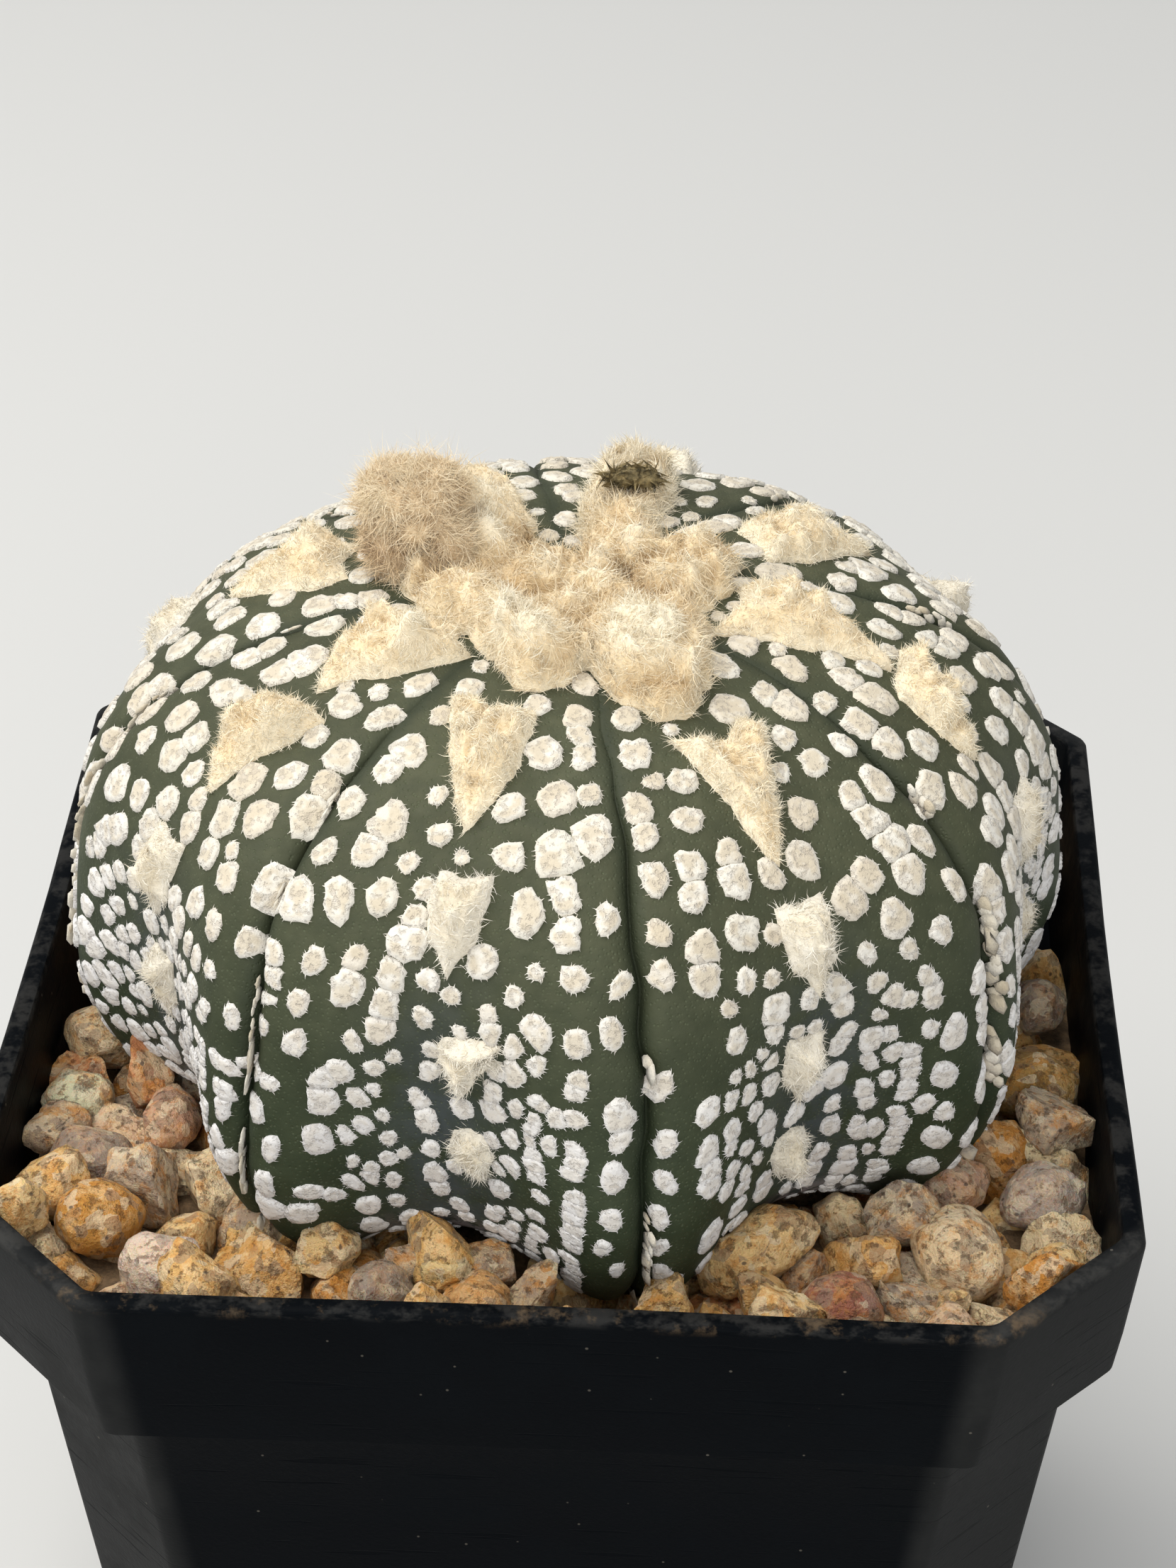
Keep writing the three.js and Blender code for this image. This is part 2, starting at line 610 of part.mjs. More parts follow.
function buildGravel() {
  const random = seeded(2029);
  const stones = [];
  const rowStep = STONE_PITCH * Math.sin(Math.PI / 3);
  const rows = Math.ceil((2 * RIM_HALF) / rowStep);
  for (let row = 0; row < rows; row++) {
    for (let column = 0; column < rows; column++) {
      const x = -RIM_HALF + (column + (row % 2) / 2) * STONE_PITCH + (random() - 0.5) * STONE_JITTER;
      const y = -RIM_HALF + row * rowStep + (random() - 0.5) * STONE_JITTER;
      const size = STONE_SMALLEST + STONE_SIZE_RANGE * random();
      const drop = STONE_DROP * random();
      const own = seeded(1000 + row * 61 + column);
      if (!onBed(x, y)) continue;
      const top = stoneTop(x, y) - drop;
      const foot = BED_TOP - STONE_SINK;
      stones.push(solidOf(stone(x, y, (top + foot) / 2, size, top - foot, own, BED_STONE)));
    }
  }
  const ground = union([buildSkin(CLEARANCE), buildRoot(CLEARANCE)]);
  const room = potRoom(SOIL_TOP, POT_HEIGHT + 3, CLEARANCE);
  let bed = union([potRoom(SOIL_TOP, BED_TOP, CLEARANCE), ...stones]).intersect(room).subtract(ground);
  LOOSE_STONES.forEach((s, i) => {
    const shaped = (size) => stone(s.x, s.y, s.z, size, 0.82 * size, seeded(300 + i), LOOSE_STONE);
    const seat = shaped(s.size + 2.4 * CLEARANCE);
    const lying = shaped(s.size);
    bed = bed.subtract(solidOf(seat));
    addPiece(s.name, solidOf(lying).intersect(room).subtract(ground), s.colour, 0.75);
  });
  addPiece("gravel_bed", bed, "#b08a55", 0.85);
}

function buildSoil() {
  const soil = potRoom(FLOOR_THICKNESS, SOIL_TOP, CLEARANCE).subtract(buildRoot(CLEARANCE));
  addPiece("potting_soil", soil, "#2e241b", 1);
}

buildPot();
buildSoil();
buildGravel();
buildPlant();
buildCrownWool();
buildTufts();
addPiece("bud_wool", budShape(0).subtract(woolGround), "#bda384", 1);
buildFlower();

export default cactus;
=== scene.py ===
# %% [markdown]
# # A spineless star cactus in its nursery pot
# The plant is a flattened dome of eight ribs. Its skin is dark green and carries some sixteen hundred
# small pads of white felt, and each rib has a row of woolly areoles that grow together at the crown. It
# stands in a black square pot under a dressing of gravel. This notebook dresses the solid model: it keeps
# every size and place of the model and replaces the plain solids with finer meshes and finishes.

# %% Load the solid model
import math

import bmesh
import bpy
import numpy as np
from mathutils import Matrix, Vector


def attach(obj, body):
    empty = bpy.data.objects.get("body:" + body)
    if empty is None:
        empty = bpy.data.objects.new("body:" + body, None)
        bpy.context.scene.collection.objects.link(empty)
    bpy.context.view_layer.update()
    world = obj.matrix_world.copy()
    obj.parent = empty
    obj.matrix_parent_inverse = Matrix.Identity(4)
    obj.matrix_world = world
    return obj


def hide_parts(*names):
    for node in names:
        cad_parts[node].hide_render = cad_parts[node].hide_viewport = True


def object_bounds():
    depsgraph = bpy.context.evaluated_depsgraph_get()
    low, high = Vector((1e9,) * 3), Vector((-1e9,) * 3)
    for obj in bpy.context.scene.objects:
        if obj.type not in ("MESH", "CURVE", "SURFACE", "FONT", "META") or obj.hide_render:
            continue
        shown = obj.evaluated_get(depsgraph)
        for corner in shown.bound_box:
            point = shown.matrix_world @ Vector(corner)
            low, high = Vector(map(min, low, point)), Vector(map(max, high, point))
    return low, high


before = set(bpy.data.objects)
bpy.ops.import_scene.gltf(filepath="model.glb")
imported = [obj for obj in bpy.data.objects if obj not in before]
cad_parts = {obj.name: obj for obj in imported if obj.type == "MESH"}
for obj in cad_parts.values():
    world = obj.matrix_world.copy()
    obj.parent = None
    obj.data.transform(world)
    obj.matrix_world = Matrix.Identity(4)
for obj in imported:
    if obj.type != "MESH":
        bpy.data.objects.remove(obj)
cad_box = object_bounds()
MM = 0.001
cad_size = [round(side, 4) for side in cad_box[1] - cad_box[0]]
print("solid model:", len(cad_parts), "nodes, box", cad_size)

# %% [markdown]
# ## Camera
# The camera comes first, because all that is judged is judged from it. It looks at the front of the pot
# from above, a little from the left. Its place was worked out from the four edges of the pot's rim, which
# is a square of known size, so the camera is given here by real angles and a real distance.

# %% Camera
CAMERA_PLACE = (11.1, -219.8, 247.2)
CAMERA_LOOKS_DOWN = 34.56
CAMERA_TURNED_LEFT = 2.54
CAMERA_ROLL = 0.43
LENS = 81.0

camera_data = bpy.data.cameras.new("camera")
camera_data.lens = LENS
camera_data.sensor_width = 36
camera_data.clip_start = 0.01
camera = bpy.data.objects.new("camera", camera_data)
bpy.context.collection.objects.link(camera)
turn = Matrix.Rotation(math.radians(CAMERA_TURNED_LEFT), 4, "Z")
tilt = Matrix.Rotation(math.radians(90 - CAMERA_LOOKS_DOWN), 4, "X")
roll = Matrix.Rotation(math.radians(CAMERA_ROLL), 4, "Z")
camera.matrix_world = Matrix.Translation(Vector(CAMERA_PLACE) * MM) @ turn @ tilt @ roll
bpy.context.scene.camera = camera
print("camera", LENS, "mm, looking down", CAMERA_LOOKS_DOWN, "degrees")

# %% [markdown]
# ## Room and light
# The plant was photographed indoors beside a large window, under soft light from above and a little from
# the left. One wide area light does that, a second, weaker one fills the front, and the rest comes from a
# pale surrounding. The floor is a plain pale sheet, which bends up far behind the pot.

# %% Floor and lights
FLOOR_SIZE = 3.0
FLOOR_COLOUR = (0.56, 0.555, 0.535, 1)


def floor_sheet():
    bm = bmesh.new()
    bmesh.ops.create_grid(bm, x_segments=1, y_segments=1, size=FLOOR_SIZE / 2)
    back = [edge for edge in bm.edges if all(v.co.y > 0 for v in edge.verts)]
    bend = bmesh.ops.extrude_edge_only(bm, edges=back)
    risen = [v for v in bend["geom"] if isinstance(v, bmesh.types.BMVert)]
    bmesh.ops.translate(bm, verts=risen, vec=(0, 0, FLOOR_SIZE / 3))
    rounding = {"segments": 24, "profile": 0.5, "affect": "EDGES", "material": -1}
    bmesh.ops.bevel(bm, geom=back, offset=FLOOR_SIZE / 4, **rounding)
    mesh = bpy.data.meshes.new("floor")
    bm.to_mesh(mesh)
    bm.free()
    mesh.shade_smooth()
    sheet = bpy.data.objects.new("floor", mesh)
    bpy.context.collection.objects.link(sheet)
    paint = bpy.data.materials.new("floor")
    paint.use_nodes = True
    paint.node_tree.nodes["Principled BSDF"].inputs["Base Color"].default_value = FLOOR_COLOUR
    paint.node_tree.nodes["Principled BSDF"].inputs["Roughness"].default_value = 0.9
    mesh.materials.append(paint)


def window_light(name, place, aim, size, power, colour):
    data = bpy.data.lights.new(name, "AREA")
    data.shape = "RECTANGLE"
    data.size, data.size_y = size
    data.energy = power
    data.color = colour
    lamp = bpy.data.objects.new(name, data)
    bpy.context.collection.objects.link(lamp)
    look = (Vector(aim) - Vector(place)).to_track_quat("-Z", "Y")
    lamp.matrix_world = Matrix.Translation(place) @ look.to_matrix().to_4x4()


floor_sheet()
window_light("overhead_window", (-0.35, 0.0, 0.75), (0, 0, 0.09), (0.8, 0.9), 8.2, (1.0, 0.985, 0.96))
window_light("front_fill", (0.1, -0.8, 0.4), (0, 0, 0.08), (0.7, 0.5), 3.2, (1.0, 0.99, 0.98))
world = bpy.data.worlds.new("room")
world.use_nodes = True
world.node_tree.nodes["Background"].inputs["Color"].default_value = (0.93, 0.96, 1.0, 1)
world.node_tree.nodes["Background"].inputs["Strength"].default_value = 0.58
bpy.context.scene.world = world
bpy.context.scene.view_settings.view_transform = "Standard"
print("floor, two window lights and a pale room")

# %% [markdown]
# ## Finishes written as sums
# A finish in Blender is a net of nodes, which is slow to draw by hand. Here a small class wraps one
# socket of that net, so that `0.5 + 0.2 * grain` adds the Math nodes by itself, and one method of a
# finish adds any other node. Patterns are read in object coordinates, in metres: a pattern of 2 mm has a
# scale of 1 / 0.002.

# %% Finish helpers
class Wire:
    """One output socket of a finish. Sums with it add Math nodes."""

    def __init__(self, finish, socket):
        self.finish = finish
        self.socket = socket

    def sum_of(self, operation, first, second):
        return self.finish.node("Math", {"operation": operation}, {0: first, 1: second})

    def __add__(self, other):
        return self.sum_of("ADD", self, other)

    def __sub__(self, other):
        return self.sum_of("SUBTRACT", self, other)

    def __rsub__(self, other):
        return self.sum_of("SUBTRACT", other, self)

    def __mul__(self, other):
        return self.sum_of("MULTIPLY", self, other)

    __radd__ = __add__
    __rmul__ = __mul__

    def between(self, low, high):
        """0 below low, 1 above high, and smooth between them."""
        ends = {"Value": self, "From Min": low, "From Max": high}
        return self.finish.node("MapRange", {"interpolation_type": "SMOOTHSTEP"}, ends)


class Finish:
    """A material whose nodes come from sums and from one method."""

    def __init__(self, name, constants=()):
        self.material = bpy.data.materials.new(name)
        self.material.use_nodes = True
        self.tree = self.material.node_tree
        self.shader = self.tree.nodes["Principled BSDF"]
        for socket, value in dict(constants).items():
            self.shader.inputs[socket].default_value = value

    def feed(self, socket, value):
        if isinstance(value, Wire):
            self.tree.links.new(value.socket, socket)
        elif socket.type == "RGBA":
            socket.default_value = (*value, 1)
        else:
            socket.default_value = value

    def node(self, kind, settings=(), sockets=(), output=0):
        made = self.tree.nodes.new("ShaderNode" + kind)
        for setting, value in dict(settings).items():
            if setting == "stops":
                self.set_stops(made.color_ramp.elements, value)
            else:
                setattr(made, setting, value)
        for socket, value in dict(sockets).items():
            self.feed(made.inputs[socket], value)
        return Wire(self, made.outputs[output])

    def set_stops(self, elements, stops):
        while len(elements) < len(stops):
            elements.new(1)
        for element, (position, colour) in zip(elements, stops):
            element.position = position
            element.color = (*colour, 1)

    def place(self):
        return self.node("TexCoord", output="Object")

    def grain(self, size, detail=3, roughness=0.5, stretch=(1, 1, 1), colour=False):
        """Cloudy noise whose lumps are about that many millimetres, near 0.5 on average."""
        at = self.node("Mapping", {}, {"Vector": self.place(), "Scale": stretch})
        sockets = {"Vector": at, "Scale": 1 / (size * MM), "Detail": detail, "Roughness": roughness}
        return self.node("TexNoise", {}, sockets, 1 if colour else 0)

    def cells(self, size, warp=0.0):
        """Crystals of that size: how near a point is to its crystal's middle, and a number for each."""
        at = self.place()
        if warp:
            stray = self.grain(size, 2, colour=True)
            bent = self.node("VectorMath", {"operation": "SCALE"}, {0: stray, 3: warp * MM})
            at = self.node("VectorMath", {"operation": "ADD"}, {0: at, 1: bent})
        made = self.node("TexVoronoi", {}, {"Vector": at, "Scale": 1 / (size * MM)})
        picked = self.node("SeparateColor", {}, {0: Wire(self, made.socket.node.outputs["Color"])})
        return made, picked

    def height(self):
        """Height above the ground, in millimetres."""
        return self.node("SeparateXYZ", {}, {0: self.place()}, 2) * (1 / MM)

    def value(self, name):
        return self.node("Attribute", {"attribute_name": name}, output="Fac")

    def ramp(self, factor, stops, interpolation="LINEAR"):
        made = self.node("ValToRGB", {"stops": stops}, {"Fac": factor})
        made.socket.node.color_ramp.interpolation = interpolation
        return made

    def blend(self, share, first, second, kind="MIX"):
        settings = {"data_type": "RGBA", "blend_type": kind}
        return self.node("Mix", settings, {0: share, 6: first, 7: second}, 2)

    def relief(self, height, depth):
        """A bump whose full height is that many millimetres."""
        return self.node("Bump", {}, {"Height": height, "Distance": depth * MM})

    def finish(self, colour=None, roughness=None, normal=None):
        for socket, value in {"Base Color": colour, "Roughness": roughness, "Normal": normal}.items():
            if value is not None:
                self.feed(self.shader.inputs[socket], value)
        return self.material


print("finish helpers ready")

# %% [markdown]
# ## Stamps
# Flecks, hairs and stones are many alike. Each kind is modelled once with bmesh operators, as a stamp,
# and the stamp's own coordinates then say where each of its points goes on every copy: a formula bends
# the stamp to the skin, the strand or the stone. All copies of a kind land in one mesh, and the whole
# plant is eighteen pieces.

# %% Stamp helpers
def stamp_of(bm):
    """A stamp's points and its triangles, as arrays."""
    bmesh.ops.triangulate(bm, faces=bm.faces)
    bm.verts.index_update()
    points = np.array([v.co for v in bm.verts])
    faces = np.array([[v.index for v in face.verts] for face in bm.faces])
    bm.free()
    return points, faces


def disc_stamp(rings, spokes):
    """A round disc of radius 1: a grid whose rows become rings, closed at its seam and in the middle."""
    bm = bmesh.new()
    bmesh.ops.create_grid(bm, x_segments=spokes, y_segments=rings, size=0.5)
    for v in bm.verts:
        turn, reach = math.tau * (v.co.x + 0.5), v.co.y + 0.5
        v.co = (reach * math.cos(turn), reach * math.sin(turn), 0)
    bmesh.ops.remove_doubles(bm, verts=bm.verts, dist=1e-4)
    bmesh.ops.recalc_face_normals(bm, faces=bm.faces)
    if sum(face.normal.z for face in bm.faces) < 0:
        bmesh.ops.reverse_faces(bm, faces=bm.faces)
    return stamp_of(bm)


def strand_stamp(steps):
    """A hair: a flat strip of width 1 along X that runs to a point at Y = 1."""
    bm = bmesh.new()
    bmesh.ops.create_grid(bm, x_segments=1, y_segments=steps, size=0.5)
    for v in bm.verts:
        v.co.y += 0.5
        v.co.x *= 1 - v.co.y
    bmesh.ops.remove_doubles(bm, verts=bm.verts, dist=1e-4)
    return stamp_of(bm)


def ball_stamp(subdivisions):
    bm = bmesh.new()
    bmesh.ops.create_icosphere(bm, subdivisions=subdivisions, radius=1)
    return stamp_of(bm)


def layer(points, faces, **values):
    """Copies of a stamp, as one set of points and triangles with values for each point."""
    copies, corners = points.shape[:2]
    tiled = faces[None] + corners * np.arange(copies)[:, None, None]
    spread = {name: np.broadcast_to(value, (copies, corners)).reshape(-1) for name, value in values.items()}
    return {"points": points.reshape(-1, 3), "faces": tiled.reshape(-1, 3), "values": spread}


def build_piece(name, layers, material, replaced=()):
    """One mesh of several layers, riding on the model in place of the nodes that it replaces."""
    mesh = bpy.data.meshes.new(name)
    points = np.concatenate([part["points"] for part in layers])
    starts = np.cumsum([0] + [len(part["points"]) for part in layers[:-1]])
    faces = np.concatenate([part["faces"] + start for part, start in zip(layers, starts)])
    mesh.vertices.add(len(points))
    mesh.vertices.foreach_set("co", (points * MM).reshape(-1).astype(np.float32))
    mesh.loops.add(3 * len(faces))
    mesh.loops.foreach_set("vertex_index", faces.reshape(-1).astype(np.int32))
    mesh.polygons.add(len(faces))
    mesh.polygons.foreach_set("loop_start", 3 * np.arange(len(faces), dtype=np.int32))
    mesh.update(calc_edges=True)
    mesh.shade_smooth()
    for value in layers[0]["values"]:
        numbers = np.concatenate([part["values"][value] for part in layers])
        mesh.attributes.new(value, "FLOAT", "POINT").data.foreach_set("value", numbers.astype(np.float32))
    piece = bpy.data.objects.new(name, mesh)
    bpy.context.collection.objects.link(piece)
    mesh.materials.append(material)
    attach(piece, "root")
    if replaced:
        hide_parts(*replaced)
    print(name, len(faces), "triangles")
    return piece


def cloud(points, size, seed=0):
    """Smooth noise from -1 to 1 in lumps of about that size, the same at every run."""
    lattice = np.asarray(points) / size
    base = np.floor(lattice).astype(np.int64)
    inside = lattice - base
    inside = inside * inside * (3 - 2 * inside)
    total = np.zeros(lattice.shape[:-1])
    for corner in np.ndindex(2, 2, 2):
        at = base + corner
        key = at[..., 0] * 73856093 ^ at[..., 1] * 19349663 ^ at[..., 2] * 83492791 ^ (seed * 26544357 + 977)
        key = (key ^ (key >> 13)) * 1274126177
        value = ((key ^ (key >> 16)) & 0xFFFF) / 0x7FFF - 1
        total += value * np.prod(np.where(corner, inside, 1 - inside), axis=-1)
    return total


def smooth(value, low, high):
    share = np.clip((value - low) / (high - low), 0, 1)
    return share * share * (3 - 2 * share)


FLECK_STAMP = disc_stamp(3, 16)
HAIR_STAMP = strand_stamp(2)
print("fleck stamp", len(FLECK_STAMP[1]), "triangles, hair stamp", len(HAIR_STAMP[1]))

# %% [markdown]
# ## The form of the plant
# Everything on the plant hangs on one formula, the same as in the solid model: a point of the skin is
# given by how far it lies from the crown, measured over the dome, and by its angle round the plant. The
# profile is made of two rounded quarters, so the dome is full at the shoulder and drawn in at the foot.
# Each groove is a sharp fold with soft cheeks, and the ribs are drawn in along their middles, more so
# towards the ground.

# %% Skin formula
AXIS = np.array([0.1, 1.2])
DOME_RADIUS, DOME_WAIST, DOME_CROWN, DOME_FULLNESS = 36, 93, 113, 2.3
CROWN_DIP, CROWN_DIP_SPREAD = 2.1, 0.22
FOOT_RADIUS, FOOT_HEIGHT, UNDERSIDE_DROP = 30, 74.2, 6
GROOVES = np.array([-79.7, -33.3, 10.6, 51.5, 100.3, 142.8, 190.3, 235.1])
RIBS_START, RIBS_FULL, RIB_SWELL = 4, 26, 1.85
GROOVE_DEPTH, GROOVE_WIDTH = 1.5, 1.1
CREASE_DEPTH, CREASE_WIDTH = 0.8, 0.22


def dome_profile(steps=900):
    """Radius and height of the dome from the crown to the middle of its underside, by distance along it."""
    quarter = np.linspace(0, math.pi / 2, steps)
    power = 2 / DOME_FULLNESS
    sine, cosine = np.sin(quarter) ** power, np.clip(np.cos(quarter), 0, 1) ** power
    top_r = DOME_RADIUS * sine
    dip = CROWN_DIP * np.exp(-((top_r / (CROWN_DIP_SPREAD * DOME_RADIUS)) ** 2))
    top_z = DOME_WAIST + (DOME_CROWN - DOME_WAIST) * cosine - dip
    low_r = FOOT_RADIUS + (DOME_RADIUS - FOOT_RADIUS) * cosine
    low_z = DOME_WAIST - (DOME_WAIST - FOOT_HEIGHT) * sine
    under_r = FOOT_RADIUS * np.cos(quarter)
    under_z = FOOT_HEIGHT - UNDERSIDE_DROP * (1 - np.cos(quarter))
    r = np.concatenate([top_r, low_r[1:], under_r[1:]])
    z = np.concatenate([top_z, low_z[1:], under_z[1:]])
    along = np.concatenate([[0], np.cumsum(np.hypot(np.diff(r), np.diff(z)))])
    return r, z, along


PROFILE_R, PROFILE_Z, PROFILE_ALONG = dome_profile()
FOOT_ALONG = PROFILE_ALONG[np.argmax(PROFILE_Z <= FOOT_HEIGHT)]
RIB_ENDS = np.append(GROOVES[1:], GROOVES[0] + 360)


def radius_at(along):
    return np.interp(along, PROFILE_ALONG, PROFILE_R)


def waver(along, groove):
    """How far a groove strays sideways from its straight line, in millimetres."""
    line = np.stack([along, groove * 9.0, np.zeros_like(along)], axis=-1)
    return (0.5 * cloud(line, 9, 3) + 0.3 * cloud(line, 3.4, 4)) * smooth(along, 10, 24)


def rib_position(degrees):
    """The rib at an angle, the share across it and the degrees to the groove at its start and at its end."""
    turned = (np.asarray(degrees) - GROOVES[0]) % 360 + GROOVES[0]
    rib = np.searchsorted(GROOVES, turned, side="right") - 1
    start, end = GROOVES[rib], RIB_ENDS[rib]
    return rib, (turned - start) / (end - start), turned - start, end - turned


def groove_distance(along, degrees):
    """How far a place lies from the nearest groove's own wavering line."""
    rib, across, after, before = rib_position(degrees)
    r = radius_at(along)
    first = np.abs(np.radians(after) * r - waver(along, rib))
    return np.minimum(first, np.abs(np.radians(before) * r + waver(along, (rib + 1) % 8)))


def skin(along, degrees, grow=0.0):
    """Points of the skin, in millimetres, lifted off it by grow."""
    along, degrees = np.broadcast_arrays(np.asarray(along, float), np.asarray(degrees, float))
    r, z = radius_at(along), np.interp(along, PROFILE_ALONG, PROFILE_Z)
    near, far = np.clip(along - 0.15, 0, None), along + 0.15
    step_r = radius_at(far) - radius_at(near)
    step_z = np.interp(far, PROFILE_ALONG, PROFILE_Z) - np.interp(near, PROFILE_ALONG, PROFILE_Z)
    length = np.hypot(step_r, step_z)
    low = np.clip((DOME_CROWN - z) / (DOME_CROWN - DOME_WAIST), 0, 1.5)
    fade = smooth(r, RIBS_START, RIBS_FULL)
    across = rib_position(degrees)[1]
    away = groove_distance(along, degrees)
    fold = fade * np.clip(3 * low, 0, 1)
    deepening = GROOVE_DEPTH * (0.35 + 0.65 * smooth(along, 22, 46))
    groove = fold * (deepening * np.exp(-away / GROOVE_WIDTH) + CREASE_DEPTH * np.exp(-away / CREASE_WIDTH))
    wave = np.cos(math.tau * across)
    swell = RIB_SWELL * np.where(wave < 0, np.clip(low, 0, 1.05), low) ** 1.5 * fade * wave
    angle = np.radians(degrees)
    flat = np.stack([r * np.cos(angle), r * np.sin(angle), z], axis=-1)
    uneven = 0.28 * cloud(flat, 11, 5) + 0.1 * cloud(flat, 4.3, 6)
    out = swell - groove + uneven * smooth(along, 4, 20) + grow
    r_out = np.clip(r - step_z / length * out, 0, None)
    z_out = z + step_r / length * out
    return np.stack([AXIS[0] + r_out * np.cos(angle), AXIS[1] + r_out * np.sin(angle), z_out], axis=-1)


def rib_middle(rib):
    return (GROOVES[rib] + RIB_ENDS[rib]) / 2


def half_breadth(rib, along):
    return math.radians((RIB_ENDS[rib] - GROOVES[rib]) / 2) * radius_at(along)


print("the skin runs", round(float(FOOT_ALONG), 1), "mm from the crown to the foot")

# %% [markdown]
# ## Skin
# The skin is a grid whose columns run from the crown to the foot. They stand closer beside the grooves,
# so that the fold stays crisp without a mesh that is fine everywhere. The grid is made by one operator,
# its points are moved to the formula, and the seam and the pole are merged. Green comes in two tones,
# olive high up where the light falls, and deeper below, where the darker green is partly the skin's own
# colour and partly painted shade. There is a bluish bloom beside the lower areoles and a corky scurf near
# the ground, and the grooves are darkened as painted shade in their folds.

# %% Skin mesh
COLUMNS_PER_RIB, SKIN_ROWS = 46, 132
COLUMN_CROWDING = 0.84


def skin_mesh():
    bm = bmesh.new()
    columns = 8 * COLUMNS_PER_RIB
    bmesh.ops.create_grid(bm, x_segments=columns, y_segments=SKIN_ROWS, size=0.5)
    grid = np.array([v.co for v in bm.verts]) + 0.5
    rib = np.minimum(np.floor(grid[:, 0] * 8 + 1e-6), 7).astype(int)
    share = grid[:, 0] * 8 - rib
    share = share - COLUMN_CROWDING * np.sin(math.tau * share) / math.tau
    degrees = GROOVES[rib] + share * (RIB_ENDS[rib] - GROOVES[rib])
    along = (grid[:, 1] ** 0.94) * (FOOT_ALONG + 22)
    stray = waver(along, rib) * (1 - share) ** 4 + waver(along, (rib + 1) % 8) * share**4
    degrees = degrees + np.degrees(stray / np.maximum(radius_at(along), 3))
    for v, place in zip(bm.verts, skin(along, degrees)):
        v.co = place
    pole = [v for v, distance in zip(bm.verts, along) if distance < 1e-6]
    bmesh.ops.pointmerge(bm, verts=pole, merge_co=sum((v.co for v in pole), Vector()) / len(pole))
    bmesh.ops.remove_doubles(bm, verts=bm.verts, dist=1e-4)
    bmesh.ops.recalc_face_normals(bm, faces=bm.faces)
    return stamp_of(bm)


def skin_values(points):
    """How near a point is to its rib's middle line and to a groove, both from 0 to 1."""
    flat = points[:, :2] - AXIS
    degrees = np.degrees(np.arctan2(flat[:, 1], flat[:, 0]))
    rib, across, after, before = rib_position(degrees)
    reach = np.hypot(flat[:, 0], flat[:, 1])
    middle = np.exp(-((np.abs(across - 0.5) * 2 * 13 / 4.2) ** 2))
    groove = np.exp(-((np.radians(np.minimum(after, before)) * reach / 0.8) ** 2))
    return middle, groove


def skin_finish():
    green = Finish("cactus_skin", {"Specular IOR Level": 0.26})
    middle, groove, height = green.value("middle"), green.value("groove"), green.height()
    high = height.between(84, 110)
    olive = green.ramp(green.grain(7, 4, 0.6), [(0.3, (0.05, 0.052, 0.026)), (0.7, (0.074, 0.078, 0.041))])
    # Deeper green for the lower skin, darker than the olive: partly its own colour, partly painted shade
    # lower down.
    deep_and_shaded_green = green.ramp(green.grain(5, 4, 0.6), [(0.3, (0.022, 0.033, 0.014)), (0.7, (0.04, 0.052, 0.025))])
    colour = green.blend(high, deep_and_shaded_green, olive)
    bloom = middle * (1 - height.between(90, 106)) * green.grain(2.4, 3).between(0.25, 0.6)
    colour = green.blend(bloom * 0.75, colour, (0.05, 0.06, 0.068))
    scurf = middle * (1 - height.between(75.5, 79.5)) * green.grain(1.1, 4, 0.7).between(0.38, 0.5)
    colour = green.blend(scurf * 0.9, colour, (0.42, 0.35, 0.36))
    pores = green.cells(0.34)[0].between(0.05, 0.4)
    colour = green.blend((1 - pores) * 0.4, colour, (0.11, 0.13, 0.07))
    mottle = green.grain(1.6, 4, 0.6).between(0.35, 0.65)
    colour = green.blend((1 - mottle) * 0.3, colour, (0.02, 0.028, 0.012))
    # The skin beside each groove is darkened: painted shade in the fold.
    colour = green.blend(groove * 0.55, colour, (0.012, 0.02, 0.01))
    roughness = 0.56 + 0.22 * green.grain(1.5, 4) + scurf * 0.2
    relief = 0.7 * green.grain(0.9, 4, 0.6) + 0.4 * pores + scurf * 0.5
    return green.finish(colour, roughness, green.relief(relief, 0.12))


skin_points, skin_faces = skin_mesh()
middle_line, groove_line = skin_values(skin_points)
body = layer(skin_points[None], skin_faces, middle=middle_line, groove=groove_line)
build_piece("cactus_skin", [body], skin_finish(), ["cactus_body"])

# %% [markdown]
# ## Where the wool lies
# Before the flecks are placed, the wool needs its ground. Each upper areole is a shield of felt with two
# ears towards the crown and a point outward, each with an outline of its own. The lower ones have
# weathered to small ovals, most with a tail. An outline is a list of places in millimetres, outward and
# sideways from a point on the rib's middle line, and it is read as a reach for every angle.

